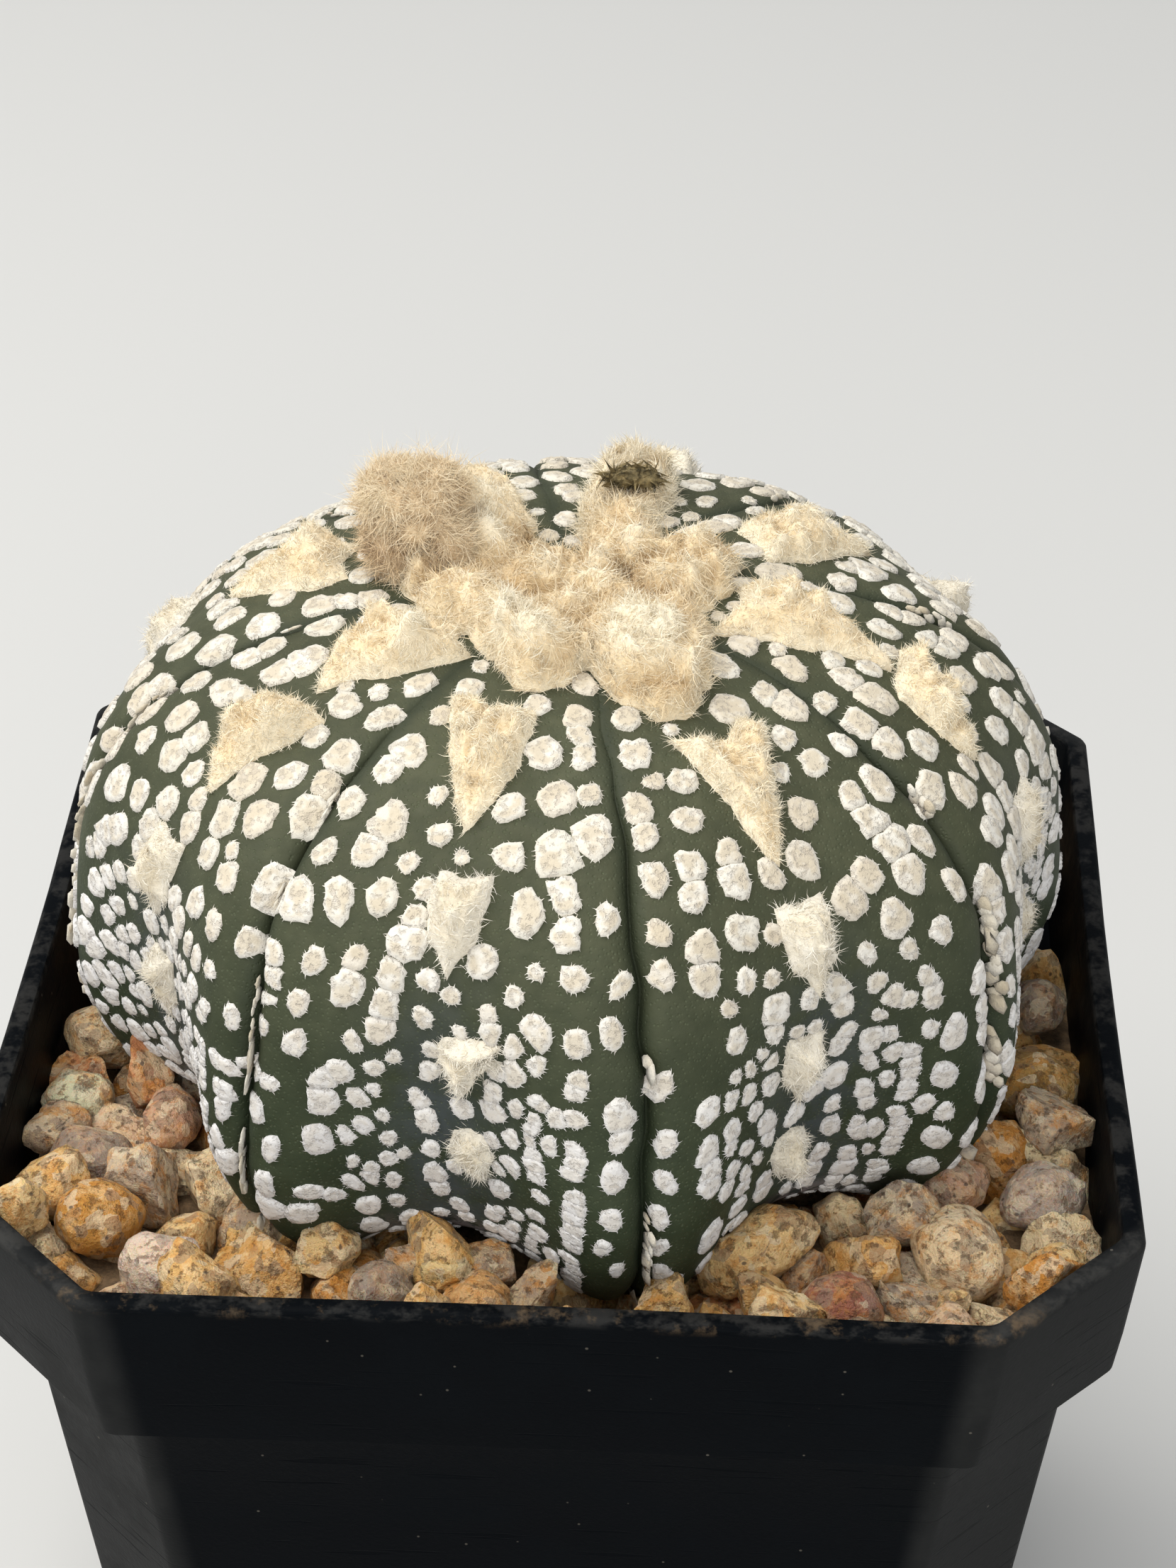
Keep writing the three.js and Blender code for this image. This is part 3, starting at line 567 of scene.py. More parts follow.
# %% Areole places
SHIELDS = [
    (0, 25, 2.2, [(6, -1), (2.6, 0.9), (-1.2, 2.3), (-4.5, 3.7), (-6, 2.3), (-4.2, 0), (-5, -1.7),
                  (-5.5, -3.4), (-1.7, -2.9), (3, -2)]),
    (1, 18, 3.0, [(6.4, -0.6), (3, -1.5), (-1.9, -3), (-6.3, -3.7), (-6.2, -1.5), (-5.2, 0.3), (-5.6, 3),
                  (-2, 3.4), (2, 2.6), (4.8, 1.4)]),
    (1, 29, 2.2, [(4.2, -3.4), (1.5, -0.4), (0, 1.4), (-2, 1.8), (-3.4, 4), (-4.6, 2.6), (-4.4, -0.6),
                  (-3.2, -3.4), (0.4, -4.2), (2.6, -4)]),
    (2, 20.5, 2.6, [(6, -0.6), (2.5, -1.9), (-1.5, -3.4), (-5.2, -3), (-5, -0.8), (-5.6, 2.4), (-1.5, 3.2),
                    (3, 2.2)]),
    (4, 16, 3.9, [(5.6, 0.8), (2.4, -1.6), (-3, -2.4), (-7, -1.8), (-7.6, 2.2), (-3.4, 5.2), (1.6, 4.8)]),
    (5, 22.5, 2.4, [(5, 2.2), (3.5, -2), (-0.6, -3.4), (-4.8, -2.6), (-4.4, 0), (-6, 2.3), (-3.2, 3.7),
                    (1, 3.4)]),
    (6, 16.5, 2.8, [(5.6, 0.4), (2.7, 1.3), (-1.3, 3.9), (-4.8, 4.6), (-5.2, 2.6), (-6.4, 1), (-4.7, -1.8),
                    (-2, -3.3), (1, -3.5), (3.6, -1.8)]),
    (6, 27.5, 2.4, [(5, 1.2), (2, 1.9), (-0.9, 3), (-4.8, 3.8), (-4.7, 0.4), (-3.8, -2.4), (0.2, -3.2),
                    (2.6, -1.2)]),
    (7, 21.5, 2.2, [(6.2, -0.3), (2.4, 1.2), (-1.1, 1.8), (-5.9, 1.8), (-5.2, -0.4), (-5.4, -1.6),
                    (-6, -3.3), (-5.2, -4.6), (-1.4, -3.7), (2.4, -2.2)]),
]
TAILED = [
    (4.4, 0), (2.4, 0.8), (1.5, 1.9), (-1, 2), (-3.7, 2.1), (-3.3, 0.2), (-3.8, -1.9), (-1, -2.1),
    (1.4, -1.8), (2.3, -0.9),
]
ARMED = [
    (4, -0.5), (1.8, 0.8), (0, 1.5), (-1.8, 2), (-2.6, 4), (-3.9, 3.8), (-3.8, 1), (-3.4, -2), (-1, -2.2),
    (1.6, -1.3),
]
OVAL = [(2.9, 0.2), (1.6, 1.5), (-0.6, 2.1), (-2.4, 1.4), (-2.9, 0), (-2.4, -1.5), (-0.4, -2.1), (1.4, -1.6)]
LOWER_AREOLES = [
    [37, 47, 55.6], [41.8, 51.5], [38, 46, 54], [30, 42, 53],
    [30, 42, 53], [35.6, 47, 57], [40, 50.2], [33.2, 44.8, 52.8],
]
MIDDLE_LEAN = [-3.2, 0, 0, 0, 0, 0, 0, 3.4]
CROWN = [
    (5, 11.2), (15, 12.6), (27, 12), (40, 8.4), (54, 10.7), (66, 11.4), (76, 10.6), (88, 5.6), (111, 7),
    (126, 11.5), (140, 12.5), (152, 11.7), (165, 12.6), (172, 15.4), (184, 12.6), (209, 10.8), (227, 10.6),
    (241, 11.8), (254, 13.9), (264, 14.4), (270, 13), (278, 11), (286, 15.8), (295, 18.2), (303, 18.6),
    (309, 15.6), (322, 12.3), (338, 10.9), (352, 10.3),
]
BUD_ANGLE, BUD_AT, BUD_LIFT = 162, 12.2, 4
FLOWER_RIB, FLOWER_AT = 3, 15.8
FLOWER = [
    (4.2, 0), (2.8, 2.4), (0, 3.2), (-4, 3), (-8, 2.2), (-9, -0.5), (-8, -3), (-4, -3.6), (0, -3.4),
    (2.8, -2.6),
]


def crown_reach(degrees):
    """How far the crown's wool reaches from the centre at an angle."""
    angles, reaches = zip(*CROWN)
    return np.interp(np.asarray(degrees) % 360, angles, reaches, period=360)


def line_of_rib(rib, along):
    """The angle of the line that a rib's areoles stand on, which leans low down on some ribs."""
    return rib_middle(rib) + MIDDLE_LEAN[rib] * smooth(along, 28, 52)


def outline_reach(outline, angle):
    """The reach of an outline with straight sides from its middle at any angle."""
    places = np.array(outline) - np.mean(outline, axis=0)
    places = places[np.argsort(np.arctan2(places[:, 1], places[:, 0]))]
    corner, reach = np.arctan2(places[:, 1], places[:, 0]), np.hypot(*places.T)
    corner, reach = np.append(corner, corner[0] + math.tau), np.append(reach, reach[0])
    turned = (np.asarray(angle) - corner[0]) % math.tau + corner[0]
    side = np.clip(np.searchsorted(corner, turned, side="right") - 1, 0, len(places) - 1)
    after, before = turned - corner[side], corner[side + 1] - turned
    one, other = reach[side], reach[side + 1]
    return one * other * np.sin(after + before) / (one * np.sin(after) + other * np.sin(before))


def all_patches():
    """Rib, distance, height and outline of every patch of wool outside the crown."""
    patches = SHIELDS + [(FLOWER_RIB, FLOWER_AT, 3, FLOWER)]
    for rib, stations in enumerate(LOWER_AREOLES):
        for number, at in enumerate(stations):
            shape = ARMED if (rib, number) in ((7, 1), (3, 0)) else (TAILED, TAILED, OVAL)[number]
            size = (1.0, 0.84, 0.88)[number]
            scaled = [(size * down, size * across) for down, across in shape]
            patches.append((rib, at, 2.2 - 0.2 * number, scaled))
    return patches


def wool_gap(along, degrees):
    """How many millimetres of free skin lie between a place and the nearest wool."""
    gaps = [along - crown_reach(degrees)]
    for rib, at, height, outline in all_patches():
        middle = np.mean(outline, axis=0)
        across = np.radians((degrees - line_of_rib(rib, at) + 180) % 360 - 180) * radius_at(along)
        down, across = along - at - middle[0], across - middle[1]
        gaps.append(np.hypot(down, across) - outline_reach(outline, np.arctan2(across, down)))
    return np.min(gaps, axis=0)


print(len(SHIELDS), "shields and", sum(map(len, LOWER_AREOLES)), "small areoles")

# %% [markdown]
# ## Flecks
# The flecks are what the plant is grown for. They stand in columns beside each groove. High up they are
# large and apart, lower down they are small and crowded, and beside the areoles they press against each
# other and turn angular. That look comes from cells: every fleck grows until it nears its neighbours, so
# its edge follows the lines halfway to them, with a strip of green left between. Some neighbours in a
# column grow into one bar, and low on the ribs whole columns are strings of such beads.

# %% Fleck places
FIRST_COLUMN, COLUMN_PITCH = 1.75, 2.8
LOW_COLUMNS_START, BEAD_STEP = 41, 1.05
SCAR = [
    (48.5, 227.3, 0.5, 1.2), (48.4, 232.3, 0.45, 1.3), (47.9, 235.9, 0.45, 1.2), (48.1, 238.9, 0.5, 1.0),
    (42, 237.4, 0.4, 1.3),
]
FLECK_GAP_HIGH, FLECK_GAP_LOW = 0.62, 0.4


def half_rib_columns(draw):
    """Distance from the groove, first place, whether it is a string of beads low down, for each column."""
    columns = []
    for number in range(5):
        distance = FIRST_COLUMN + COLUMN_PITCH * number + draw.normal(0, 0.15)
        columns.append((distance, 6.5 + 1.7 * number, number > 0 and draw.random() < 0.4))
        if number in (2, 3):
            columns.append((distance - COLUMN_PITCH / 2, LOW_COLUMNS_START, False))
    return columns


def fleck_at(draw, distance, half, along, beads):
    """Reach down and across, chance of a gap, whether it is a bead, and chance to join the next one."""
    low = float(smooth(along, 31, 47))
    inner = float(smooth(distance / half, 0.3, 0.72))
    if beads and low > 0.7 and inner < 0.95:
        return 0.62, 0.76, 0.05, True, 1.0
    size = float(np.clip(draw.lognormal(0, 0.17), 0.66, 1.3))
    breadth = size * ((1 - low) * 1.2 + low * (0.9 - 0.2 * inner))
    length = breadth * ((1 - low) * draw.uniform(1.0, 1.4) + low * draw.uniform(1.05, 1.7))
    sparse = 0.3 if distance > 3 else 0.16
    missing = 0.03 + 0.1 * float(smooth(along, 26, 34)) * (1 - inner) + low * (1 - inner) * sparse
    if distance < 3:
        breadth, missing = breadth * (0.86 - 0.1 * low), 0.03 + 0.5 * missing
    return length, breadth, missing, False, 0.28


def fleck_columns():
    """Rows of distance from the crown, angle, reach down and across, and the fleck it is joined to."""
    draw = np.random.default_rng(21)
    rows = [(*place, number - 1) for number, place in enumerate(SCAR)]
    for half_rib in range(16):
        rib, side = half_rib // 2, half_rib % 2 * 2 - 1
        for distance, start, beads in half_rib_columns(draw):
            along = start + 2.5 * draw.random()
            joined, left = False, 0
            while along < FOOT_ALONG + 1.5:
                half = half_breadth(rib, along)
                place = np.array([along, distance, half_rib])
                stray = 0.9 * float(cloud(place, 6, 2)) + draw.normal(0, 0.24)
                here = distance + stray * (0.4 if joined else 1)
                length, breadth, missing, bead, bond = fleck_at(draw, distance, half, along, beads)
                present = half - here > 0.5 and draw.random() > missing
                if present:
                    turned = rib_middle(rib) + side * math.degrees((half - here) / radius_at(along))
                    rows.append((along, turned, length, breadth, len(rows) - 1 if joined else -1))
                left = left - 1 if bead and left > 0 else int(draw.integers(2, 7))
                joined = present and (left > 0 if bead else draw.random() < bond)
                gap = 0.42 + 0.4 * (1 - float(smooth(along, 31, 47)))
                if bead and joined:
                    along += BEAD_STEP
                else:
                    space = gap * draw.uniform(0.5, 1.6)
                    along += 2 * length * 0.8 if joined else 2 * length + space
    return np.array(rows)


def keep_rows(rows, kept):
    """Some of the rows, with the numbers of joined flecks brought up to date."""
    place = np.cumsum(kept) - 1
    partner = rows[:, 4].astype(int)
    still = (partner >= 0) & kept[partner]
    rows = rows.copy()
    rows[:, 4] = np.where(still, place[partner], -1)
    return rows[kept]


def thin_out(rows):
    """Leaves out flecks under wool and those that stand almost on another one."""
    rows = keep_rows(rows, wool_gap(rows[:, 0], rows[:, 1]) > 0.45 * rows[:, 3])
    centres = skin(rows[:, 0], rows[:, 1])
    apart = np.linalg.norm(centres[:, None] - centres[None], axis=-1)
    near = apart < 0.64 * (rows[:, None, 3] + rows[None, :, 3])
    return keep_rows(rows, ~(np.tril(near, -1).any(axis=1) & (rows[:, 4] < 0)))


def fill_in(rows, tries=9000):
    """Adds flecks where there is room for one, except in the green strips beside the grooves low down."""
    draw = np.random.default_rng(22)
    along = 7 + (FOOT_ALONG - 6) * draw.random(tries)
    degrees = 360 * draw.random(tries)
    low = smooth(along, 31, 47)
    apart = groove_distance(along, degrees)
    reach = (1 - low) * draw.uniform(0.55, 1.2, tries) + low * draw.uniform(0.45, 0.66, tries)
    off_the_strips = (low < 0.03) | (apart > 3.5 + 3 * low)
    room = (wool_gap(along, degrees) > 0.6 * reach) & (apart > 0.6 * reach) & off_the_strips
    places = skin(along, degrees)
    found = np.full((len(rows) + tries, 3), 999.0)
    found[: len(rows)] = skin(rows[:, 0], rows[:, 1])
    reaches = np.ones(len(found))
    reaches[: len(rows)] = np.sqrt(rows[:, 2] * rows[:, 3])
    rows = list(rows)
    for number in np.flatnonzero(room):
        gap = 0.7 * (FLECK_GAP_HIGH + (FLECK_GAP_LOW - FLECK_GAP_HIGH) * low[number])
        if np.min(np.linalg.norm(found - places[number], axis=1) - reaches) > reach[number] + gap:
            found[len(rows)], reaches[len(rows)] = places[number], reach[number]
            length = reach[number] * draw.uniform(1.0, 1.3)
            rows.append(np.array([along[number], degrees[number], length, reach[number], -1]))
    return np.array(rows)


fleck_rows = fill_in(thin_out(fleck_columns()))
print(len(fleck_rows), "flecks")

# %% [markdown]
# A fleck's outline is worked out in sixteen directions. In each, the nearest of three limits wins: its
# own size, the line halfway to a neighbour, and the edge of the wool. Adding the limits as high inverse
# powers rounds the corners, which gives the soft pebbles of the real flecks. Where two flecks are joined,
# both bulge to each other.

# %% Fleck outlines
SPOKES = 16
SHARPNESS = 7.0


def fleck_outlines(rows):
    draw = np.random.default_rng(5)
    along, degrees, length, breadth, joined = rows.T
    spoke = np.arange(SPOKES) * math.tau / SPOKES
    tilt = draw.normal(0, 0.3, size=(len(rows), 1))
    own = 1.05 / np.hypot(np.cos(spoke - tilt) / length[:, None], np.sin(spoke - tilt) / breadth[:, None])
    inverse = np.zeros_like(own)
    centres = skin(along, degrees)
    apart = np.linalg.norm(centres[:, None] - centres[None], axis=-1)
    np.fill_diagonal(apart, 99)
    order = np.argsort(apart, axis=1)
    gap = FLECK_GAP_HIGH + (FLECK_GAP_LOW - FLECK_GAP_HIGH) * smooth(along, 30, 46)
    number = np.arange(len(rows))
    friend = np.where(draw.random(len(rows)) < 0.15, order[:, 0], -1)
    for place in range(9):
        other = order[:, place]
        down = along[other] - along
        across = np.radians((degrees[other] - degrees + 180) % 360 - 180) * radius_at(along)
        distance = np.hypot(down, across) + 1e-6
        bound = (joined == other) | (joined[other] == number) | (friend == other) | (friend[other] == number)
        facing = (down[:, None] * np.cos(spoke) + across[:, None] * np.sin(spoke)) / distance[:, None]
        own = own * (1 + 0.8 * bound[:, None] * np.clip(facing, 0, 1) ** 1.5)
        halfway = distance * breadth / (breadth + breadth[other])
        limit = np.clip(halfway - np.where(bound, -0.16, gap) / 2, 0.2, None)
        inverse += np.where(facing > 0.12, (limit[:, None] / np.clip(facing, 0.12, 1)) ** -SHARPNESS, 0)
    free = np.clip(wool_gap(along, degrees), 0.3, None) + 0.25
    turn = draw.uniform(0, math.tau, size=(2, len(rows), 1))
    own = own * (1 + 0.09 * np.cos(2 * spoke + turn[0]) + 0.075 * np.cos(3 * spoke + turn[1]))
    inverse += (0.97 * own) ** -SHARPNESS + 0.5 * free[:, None] ** -SHARPNESS
    return inverse ** (-1 / SHARPNESS) * (1 + 0.06 * draw.normal(size=own.shape))


outlines = fleck_outlines(fleck_rows)
whole = outlines.mean(axis=1) > 0.38
fleck_rows, outlines = keep_rows(fleck_rows, whole), outlines[whole]
print(len(fleck_rows), "flecks, mean breadth", round(2 * float(outlines.mean()), 2), "mm")

# %% [markdown]
# Each fleck is a thin cushion of felt: it rises steeply at its edge, is flat on top and dips a little in
# the middle, where it often creases. The stamp's rings take those heights. A fringe of fine hairs round
# the edge, lying on the skin, makes the edge soft, as on the plant. The fringe is a piece of its own,
# because a piece is exported as one file and each should stay light.

# %% Fleck mesh and fringe
RING_SHARES = {0: 0.0, 1: 0.52, 2: 0.9, 3: 1.0}
RING_HEIGHTS = {0: 0.2, 1: 0.29, 2: 0.24, 3: -0.06}
FRINGE_PER_FLECK = 15


def on_outline(reach, angle):
    """The outline's reach at any angle, for each fleck."""
    turns = (np.asarray(angle) / math.tau * SPOKES) % SPOKES
    low = np.floor(turns).astype(int)
    share = turns - low
    picked = np.take_along_axis(reach, low % SPOKES, axis=1)
    return picked * (1 - share) + np.take_along_axis(reach, (low + 1) % SPOKES, axis=1) * share


def fleck_layer(rows, reach):
    points, faces = FLECK_STAMP
    radius = np.hypot(points[:, 0], points[:, 1])
    angle = np.broadcast_to(np.arctan2(points[:, 1], points[:, 0]), (len(rows), len(points)))
    ring = np.round(radius * 3).astype(int)
    share = np.array([RING_SHARES[step] for step in ring])
    height = np.array([RING_HEIGHTS[step] for step in ring])
    draw = np.random.default_rng(9)
    out = on_outline(reach, angle) * share
    along = rows[:, :1] + out * np.cos(angle)
    degrees = rows[:, 1:2] + np.degrees(out * np.sin(angle) / radius_at(rows[:, :1]))
    rough = draw.normal(0, 0.035, size=out.shape) * (share > 0.3) * (share < 0.95)
    lifted = height * np.clip(reach.mean(axis=1), 0.6, 1.1)[:, None] + rough
    tone = draw.random(len(rows))[:, None]
    return layer(skin(along, degrees, lifted), faces, middle=1 - share, tone=tone)


def fringe_layer(rows, reach):
    points, faces = HAIR_STAMP
    draw = np.random.default_rng(10)
    shape = (len(rows), FRINGE_PER_FLECK)
    angle = (np.arange(FRINGE_PER_FLECK) + draw.random(shape)) / FRINGE_PER_FLECK * math.tau
    edge = on_outline(reach, angle)
    lean = angle + draw.normal(0, 0.6, size=shape)
    length = draw.uniform(0.14, 0.3, size=shape) + edge * 0.08
    width = draw.uniform(0.07, 0.12, size=shape)
    out = 0.88 * edge
    down = out * np.cos(angle)
    across = out * np.sin(angle)
    strip = points[None, None]
    bend = strip[..., 1] ** 2 * draw.normal(0, 0.07, size=shape)[..., None]
    run = strip[..., 1] * length[..., None]
    side = strip[..., 0] * width[..., None] + bend
    down = down[..., None] + run * np.cos(lean)[..., None] - side * np.sin(lean)[..., None]
    across = across[..., None] + run * np.sin(lean)[..., None] + side * np.cos(lean)[..., None]
    lift = 0.2 - strip[..., 1] * draw.uniform(0.05, 0.24, size=shape)[..., None]
    along = rows[:, 0, None, None] + down
    degrees = rows[:, 1, None, None] + np.degrees(across / radius_at(rows[:, 0, None, None]))
    places = skin(along, degrees, lift).reshape(-1, len(points), 3)
    tone = np.broadcast_to(draw.random(shape)[..., None], (*shape, len(points))).reshape(-1, len(points))
    return layer(places, faces, middle=0.0, tone=tone)


def felt_finish():
    felt = Finish("fleck_felt", {"Roughness": 0.95, "Specular IOR Level": 0.15, "Sheen Weight": 0.25})
    middle, tone, height = felt.value("middle"), felt.value("tone"), felt.height()
    cream = felt.ramp(tone, [(0.0, (0.7, 0.66, 0.56)), (0.5, (0.77, 0.73, 0.64)), (1.0, (0.66, 0.59, 0.47))])
    white = felt.ramp(tone, [(0.0, (0.68, 0.66, 0.64)), (1.0, (0.78, 0.76, 0.73))])
    colour = felt.blend(height.between(86, 108), white, cream)
    creased = middle.between(0.08, 0.42) * felt.grain(1.3, 3).between(0.36, 0.56)
    worn = creased * (0.4 + 0.6 * height.between(88, 104))
    colour = felt.blend(worn * 0.8, colour, (0.56, 0.48, 0.35))
    # The low parts of this fine crease relief are darkened in colour: painted shade in the creases.
    crease = felt.grain(0.5, 3, 0.6).between(0.34, 0.5)
    colour = felt.blend((1 - crease) * 0.4, colour, (0.42, 0.36, 0.29))
    relief = felt.grain(0.25, 4, 0.7) + 0.8 * crease
    return felt.finish(colour, normal=felt.relief(relief, 0.09))


FELT = felt_finish()
build_piece("felt_flecks", [fleck_layer(fleck_rows, outlines)], FELT)
build_piece("fleck_fringe", [fringe_layer(fleck_rows, outlines)], FELT)

# %% [markdown]
# ## Hairs
# Plant wool is a mat of fine curled hairs. A particle system would be the usual way, but hairs that have
# to survive an export are real strips of mesh. A piece of wool is a lumpy core with thousands of short
# strands on it: most lie along the surface and a few stand out, which softens the outline against the
# background.

# %% Hair helper
def scatter(points, faces, count, draw):
    """Random places on a mesh, evenly over its area, with the normal and the face at each."""
    corner = points[faces]
    cross = np.cross(corner[:, 1] - corner[:, 0], corner[:, 2] - corner[:, 0])
    size = np.linalg.norm(cross, axis=1)
    pick = draw.choice(len(faces), count, p=size / size.sum())
    first, second = draw.random((2, count, 1))
    over = first + second > 1
    first, second = np.where(over, 1 - first, first), np.where(over, 1 - second, second)
    chosen = corner[pick]
    place = chosen[:, 0] + first * (chosen[:, 1] - chosen[:, 0]) + second * (chosen[:, 2] - chosen[:, 0])
    return place, cross[pick] / size[pick, None], pick


def unit(vectors):
    return vectors / np.maximum(np.linalg.norm(vectors, axis=-1, keepdims=True), 1e-9)


def hair_layer(points, faces, hill, count, length, width, stand, seed, clump=1.3):
    """Strands that grow out of a mesh, leaning together in clumps, and curl."""
    draw = np.random.default_rng(seed)
    root, normal, pick = scatter(points, faces, count, draw)
    sway = np.stack([cloud(root, clump, seed + axis) for axis in (1, 2, 3)], axis=-1) * 1.7
    lean = sway + draw.normal(0, 0.6, size=root.shape)
    flat = unit(lean - normal * np.sum(lean * normal, axis=1, keepdims=True))
    rise = np.clip(stand * draw.exponential(1.0, size=(count, 1)), 0.02, 2.0)
    heading = unit(flat + rise * normal)
    curl = np.cross(heading, unit(draw.normal(size=root.shape)))
    side = unit(np.cross(heading, unit(draw.normal(size=root.shape))))
    reach = (length * draw.uniform(0.4, 1.25, size=(count, 1)))[..., None]
    strip, strip_faces = HAIR_STAMP
    t, across = strip[None, :, 1:2], strip[None, :, 0:1]
    places = (root - 0.08 * normal)[:, None] + heading[:, None] * reach * t
    places = places + curl[:, None] * reach * 0.42 * t**2 - normal[:, None] * 0.12 * reach * t**2
    places = places + side[:, None] * across * (width * draw.uniform(0.7, 1.3, size=(count, 1)))[..., None]
    tone = 0.5 * draw.random(count) + 0.25 * (1 + cloud(root, 0.7, seed + 4))
    values = {"tone": tone[:, None], "hill": hill[faces[pick]].mean(axis=1)[:, None]}
    return layer(places, strip_faces, loose=np.broadcast_to(t[..., 0], (count, len(strip))), **values)


def core_layer(points, faces, hill=0.5):
    # The core gets a low tone, which darkens it under the hairs: painted shade.
    return layer(points[None], faces, tone=0.25, hill=hill, loose=0.0)


def cotton(points, seed, size=1.0):
    """Lumps of cotton wool, from about -1 to 1: round hills with creases between them."""
    big = 3.2 * np.abs(cloud(points, 2.3 * size, seed)) - 0.9
    small = 3.2 * np.abs(cloud(points, 1.1 * size, seed + 1)) - 0.9
    return 0.65 * big + 0.35 * small


def wool_finish(name, hollow, shade, light, bits=0.0):
    """Wool coloured by painted light and shade: darkest in its hollows, lightest on its hills and at the
    tips of its hairs.
    """
    wool = Finish(name, {"Roughness": 1.0, "Specular IOR Level": 0.1, "Sheen Weight": 0.3})
    uneven = 0.5 * (wool.grain(1.3, 4, 0.6) - 0.5)
    # hill and loose carry painted light on the hills and hair tips and painted shade in the hollows; tone
    # adds random variation.
    high = wool.value("hill") + uneven + 0.16 * wool.value("loose") + 0.5 * (wool.value("tone") - 0.5)
    colour = wool.ramp(high, [(0.05, hollow), (0.4, shade), (0.82, light)])
    if bits:
        caught = wool.grain(0.9, 3, 0.7).between(0.68 - bits, 0.76 - bits)
        colour = wool.blend(caught * 0.8, colour, (0.2, 0.085, 0.045))
    return wool.finish(colour, normal=wool.relief(wool.grain(0.4, 5, 0.7), 0.2))


CREAM = wool_finish("cream_wool", (0.52, 0.34, 0.15), (0.85, 0.69, 0.44), (0.93, 0.85, 0.67))
print("hair helper and cream wool ready")

# %% [markdown]
# ## Felt shields
# Each shield is a disc stamped into its outline: two ears, a notch between them and a long point. Its
# edge is a thin felt rim that lies on the skin, and the mound behind it is highest between the ears. The
# outline is the areole's own list from above, and noise makes its border ragged, as felt is where it was
# torn by growth.

# %% Shields
SHIELD_STAMP = disc_stamp(16, 80)


def from_border(places, border):
    """How far each place lies from the border, in millimetres, without a sharp line in the middle."""
    apart = np.linalg.norm(places[:, None] - places[border][None], axis=-1)
    return np.clip(0.7 * np.mean(np.clip(apart, 0.02, None) ** -5.0, axis=1) ** -0.2 - 0.05, 0, None)


def felt_patch(stamp, rib, at, height, outline, seed, crest=-1.8, fluff=0.4):
    """A patch of felt on the skin: a thin rim, and a mound of cotton as far as the patch is broad."""
    points, faces = stamp
    angle = np.arctan2(points[:, 1], points[:, 0])
    radius = np.hypot(points[:, 0], points[:, 1])
    ring = np.stack([np.cos(angle) * 3, np.sin(angle) * 3, np.full_like(angle, seed * 7.7)], axis=-1)
    ragged = 1 + 0.08 * cloud(ring, 1.3, seed) + 0.07 * cloud(ring, 0.4, seed + 50)
    reach = outline_reach(outline, angle) * ragged * radius
    middle = np.mean(outline, axis=0)
    down, across = middle[0] + reach * np.cos(angle), middle[1] + reach * np.sin(angle)
    flat = np.stack([down, across, np.full_like(down, seed * 5.0)], axis=-1)
    edge = from_border(flat, radius > 0.999)
    inner = smooth(edge, 0.2, 1.5)
    crest_share = 0.22 + 0.78 * np.exp(-(((down - crest) / 3.4) ** 2))
    lumps = cotton(flat, seed)
    lifted = 0.32 * smooth(edge, -0.05, 0.3) - 0.12 * (radius > 0.999)
    mound = inner * crest_share * (0.8 * height - 0.3 + fluff * 2 * lumps)
    lifted = lifted + mound + 0.12 * lumps * smooth(edge, 0, 0.8)
    # Lightest at the rim; over the mound the cotton lumps are lighter than the creases between them: painted
    # light on the lumps and painted shade in the creases.
    hill = np.clip(0.78 - 0.2 * inner + 0.15 * lumps * inner, 0, 1)
    degrees = line_of_rib(rib, at) + np.degrees(across / radius_at(at + down))
    return skin(at + down, degrees, lifted), faces, hill


def build_shields():
    for number, (rib, at, height, outline) in enumerate(SHIELDS):
        points, faces, hill = felt_patch(SHIELD_STAMP, rib, at, height, outline, number + 3)
        fine = hair_layer(points, faces, hill, 5000, 0.95, 0.085, 0.38, 100 + number, 1.0)
        name = f"felt_shield_{number + 1}"
        layers = [core_layer(points, faces, hill), fine]
        build_piece(name, layers, CREAM, [f"wool_tuft_{number + 1}"])


build_shields()

# %% [markdown]
# ## Small areoles
# Further down the ribs the wool has weathered to small white ovals, most of them with a tail that points
# to the ground. They are the same felt patch with a rounder outline, all in one piece.

# %% Small areoles
OVAL_STAMP = disc_stamp(10, 48)
WHITE = wool_finish("white_wool", (0.5, 0.38, 0.23), (0.76, 0.67, 0.5), (0.88, 0.83, 0.72))


def build_small_areoles():
    layers = []
    for number, (rib, at, height, outline) in enumerate(all_patches()[len(SHIELDS) + 1 :]):
        points, faces, hill = felt_patch(OVAL_STAMP, rib, at, height, outline, 200 + number, -1.0, 0.34)
        layers.append(core_layer(points, faces, hill))
        layers.append(hair_layer(points, faces, hill, 1200, 1.0, 0.08, 0.5, 200 + number, 0.9))
    build_piece("small_areoles", layers, WHITE)


build_small_areoles()

# %% [markdown]
# ## Crown
# At the crown the youngest areoles have grown into one woolly cap, with an arm out along each rib. Its
# outline is given as a reach for each angle, and puffs of different sizes give it its hills. The longest
# hairs of the plant stand here.

# %% Crown wool
CROWN_PUFFS = [
    (40, 0.8, 3.2), (315, 4.6, 3.0), (276, 4.6, 3.1), (170, 3.4, 3.7), (158, 7, 3.6), (252, 9.8, 4.1),
    (257, 12.8, 2.3), (238, 10, 2.5), (270, 10, 2.4), (301, 8.6, 3.7), (301, 12.6, 4.2), (296, 16, 2.2),
    (327, 9.8, 2.7), (0, 7.6, 3.2), (8, 10.8, 2.7), (24, 9.6, 2.8), (54, 6.4, 3.6), (66, 9.5, 3.0),
    (135, 10, 3.5), (206, 8.6, 3.6), (228, 8, 2.7), (172, 12, 3.4),
]
CROWN_STAMP = disc_stamp(64, 160)


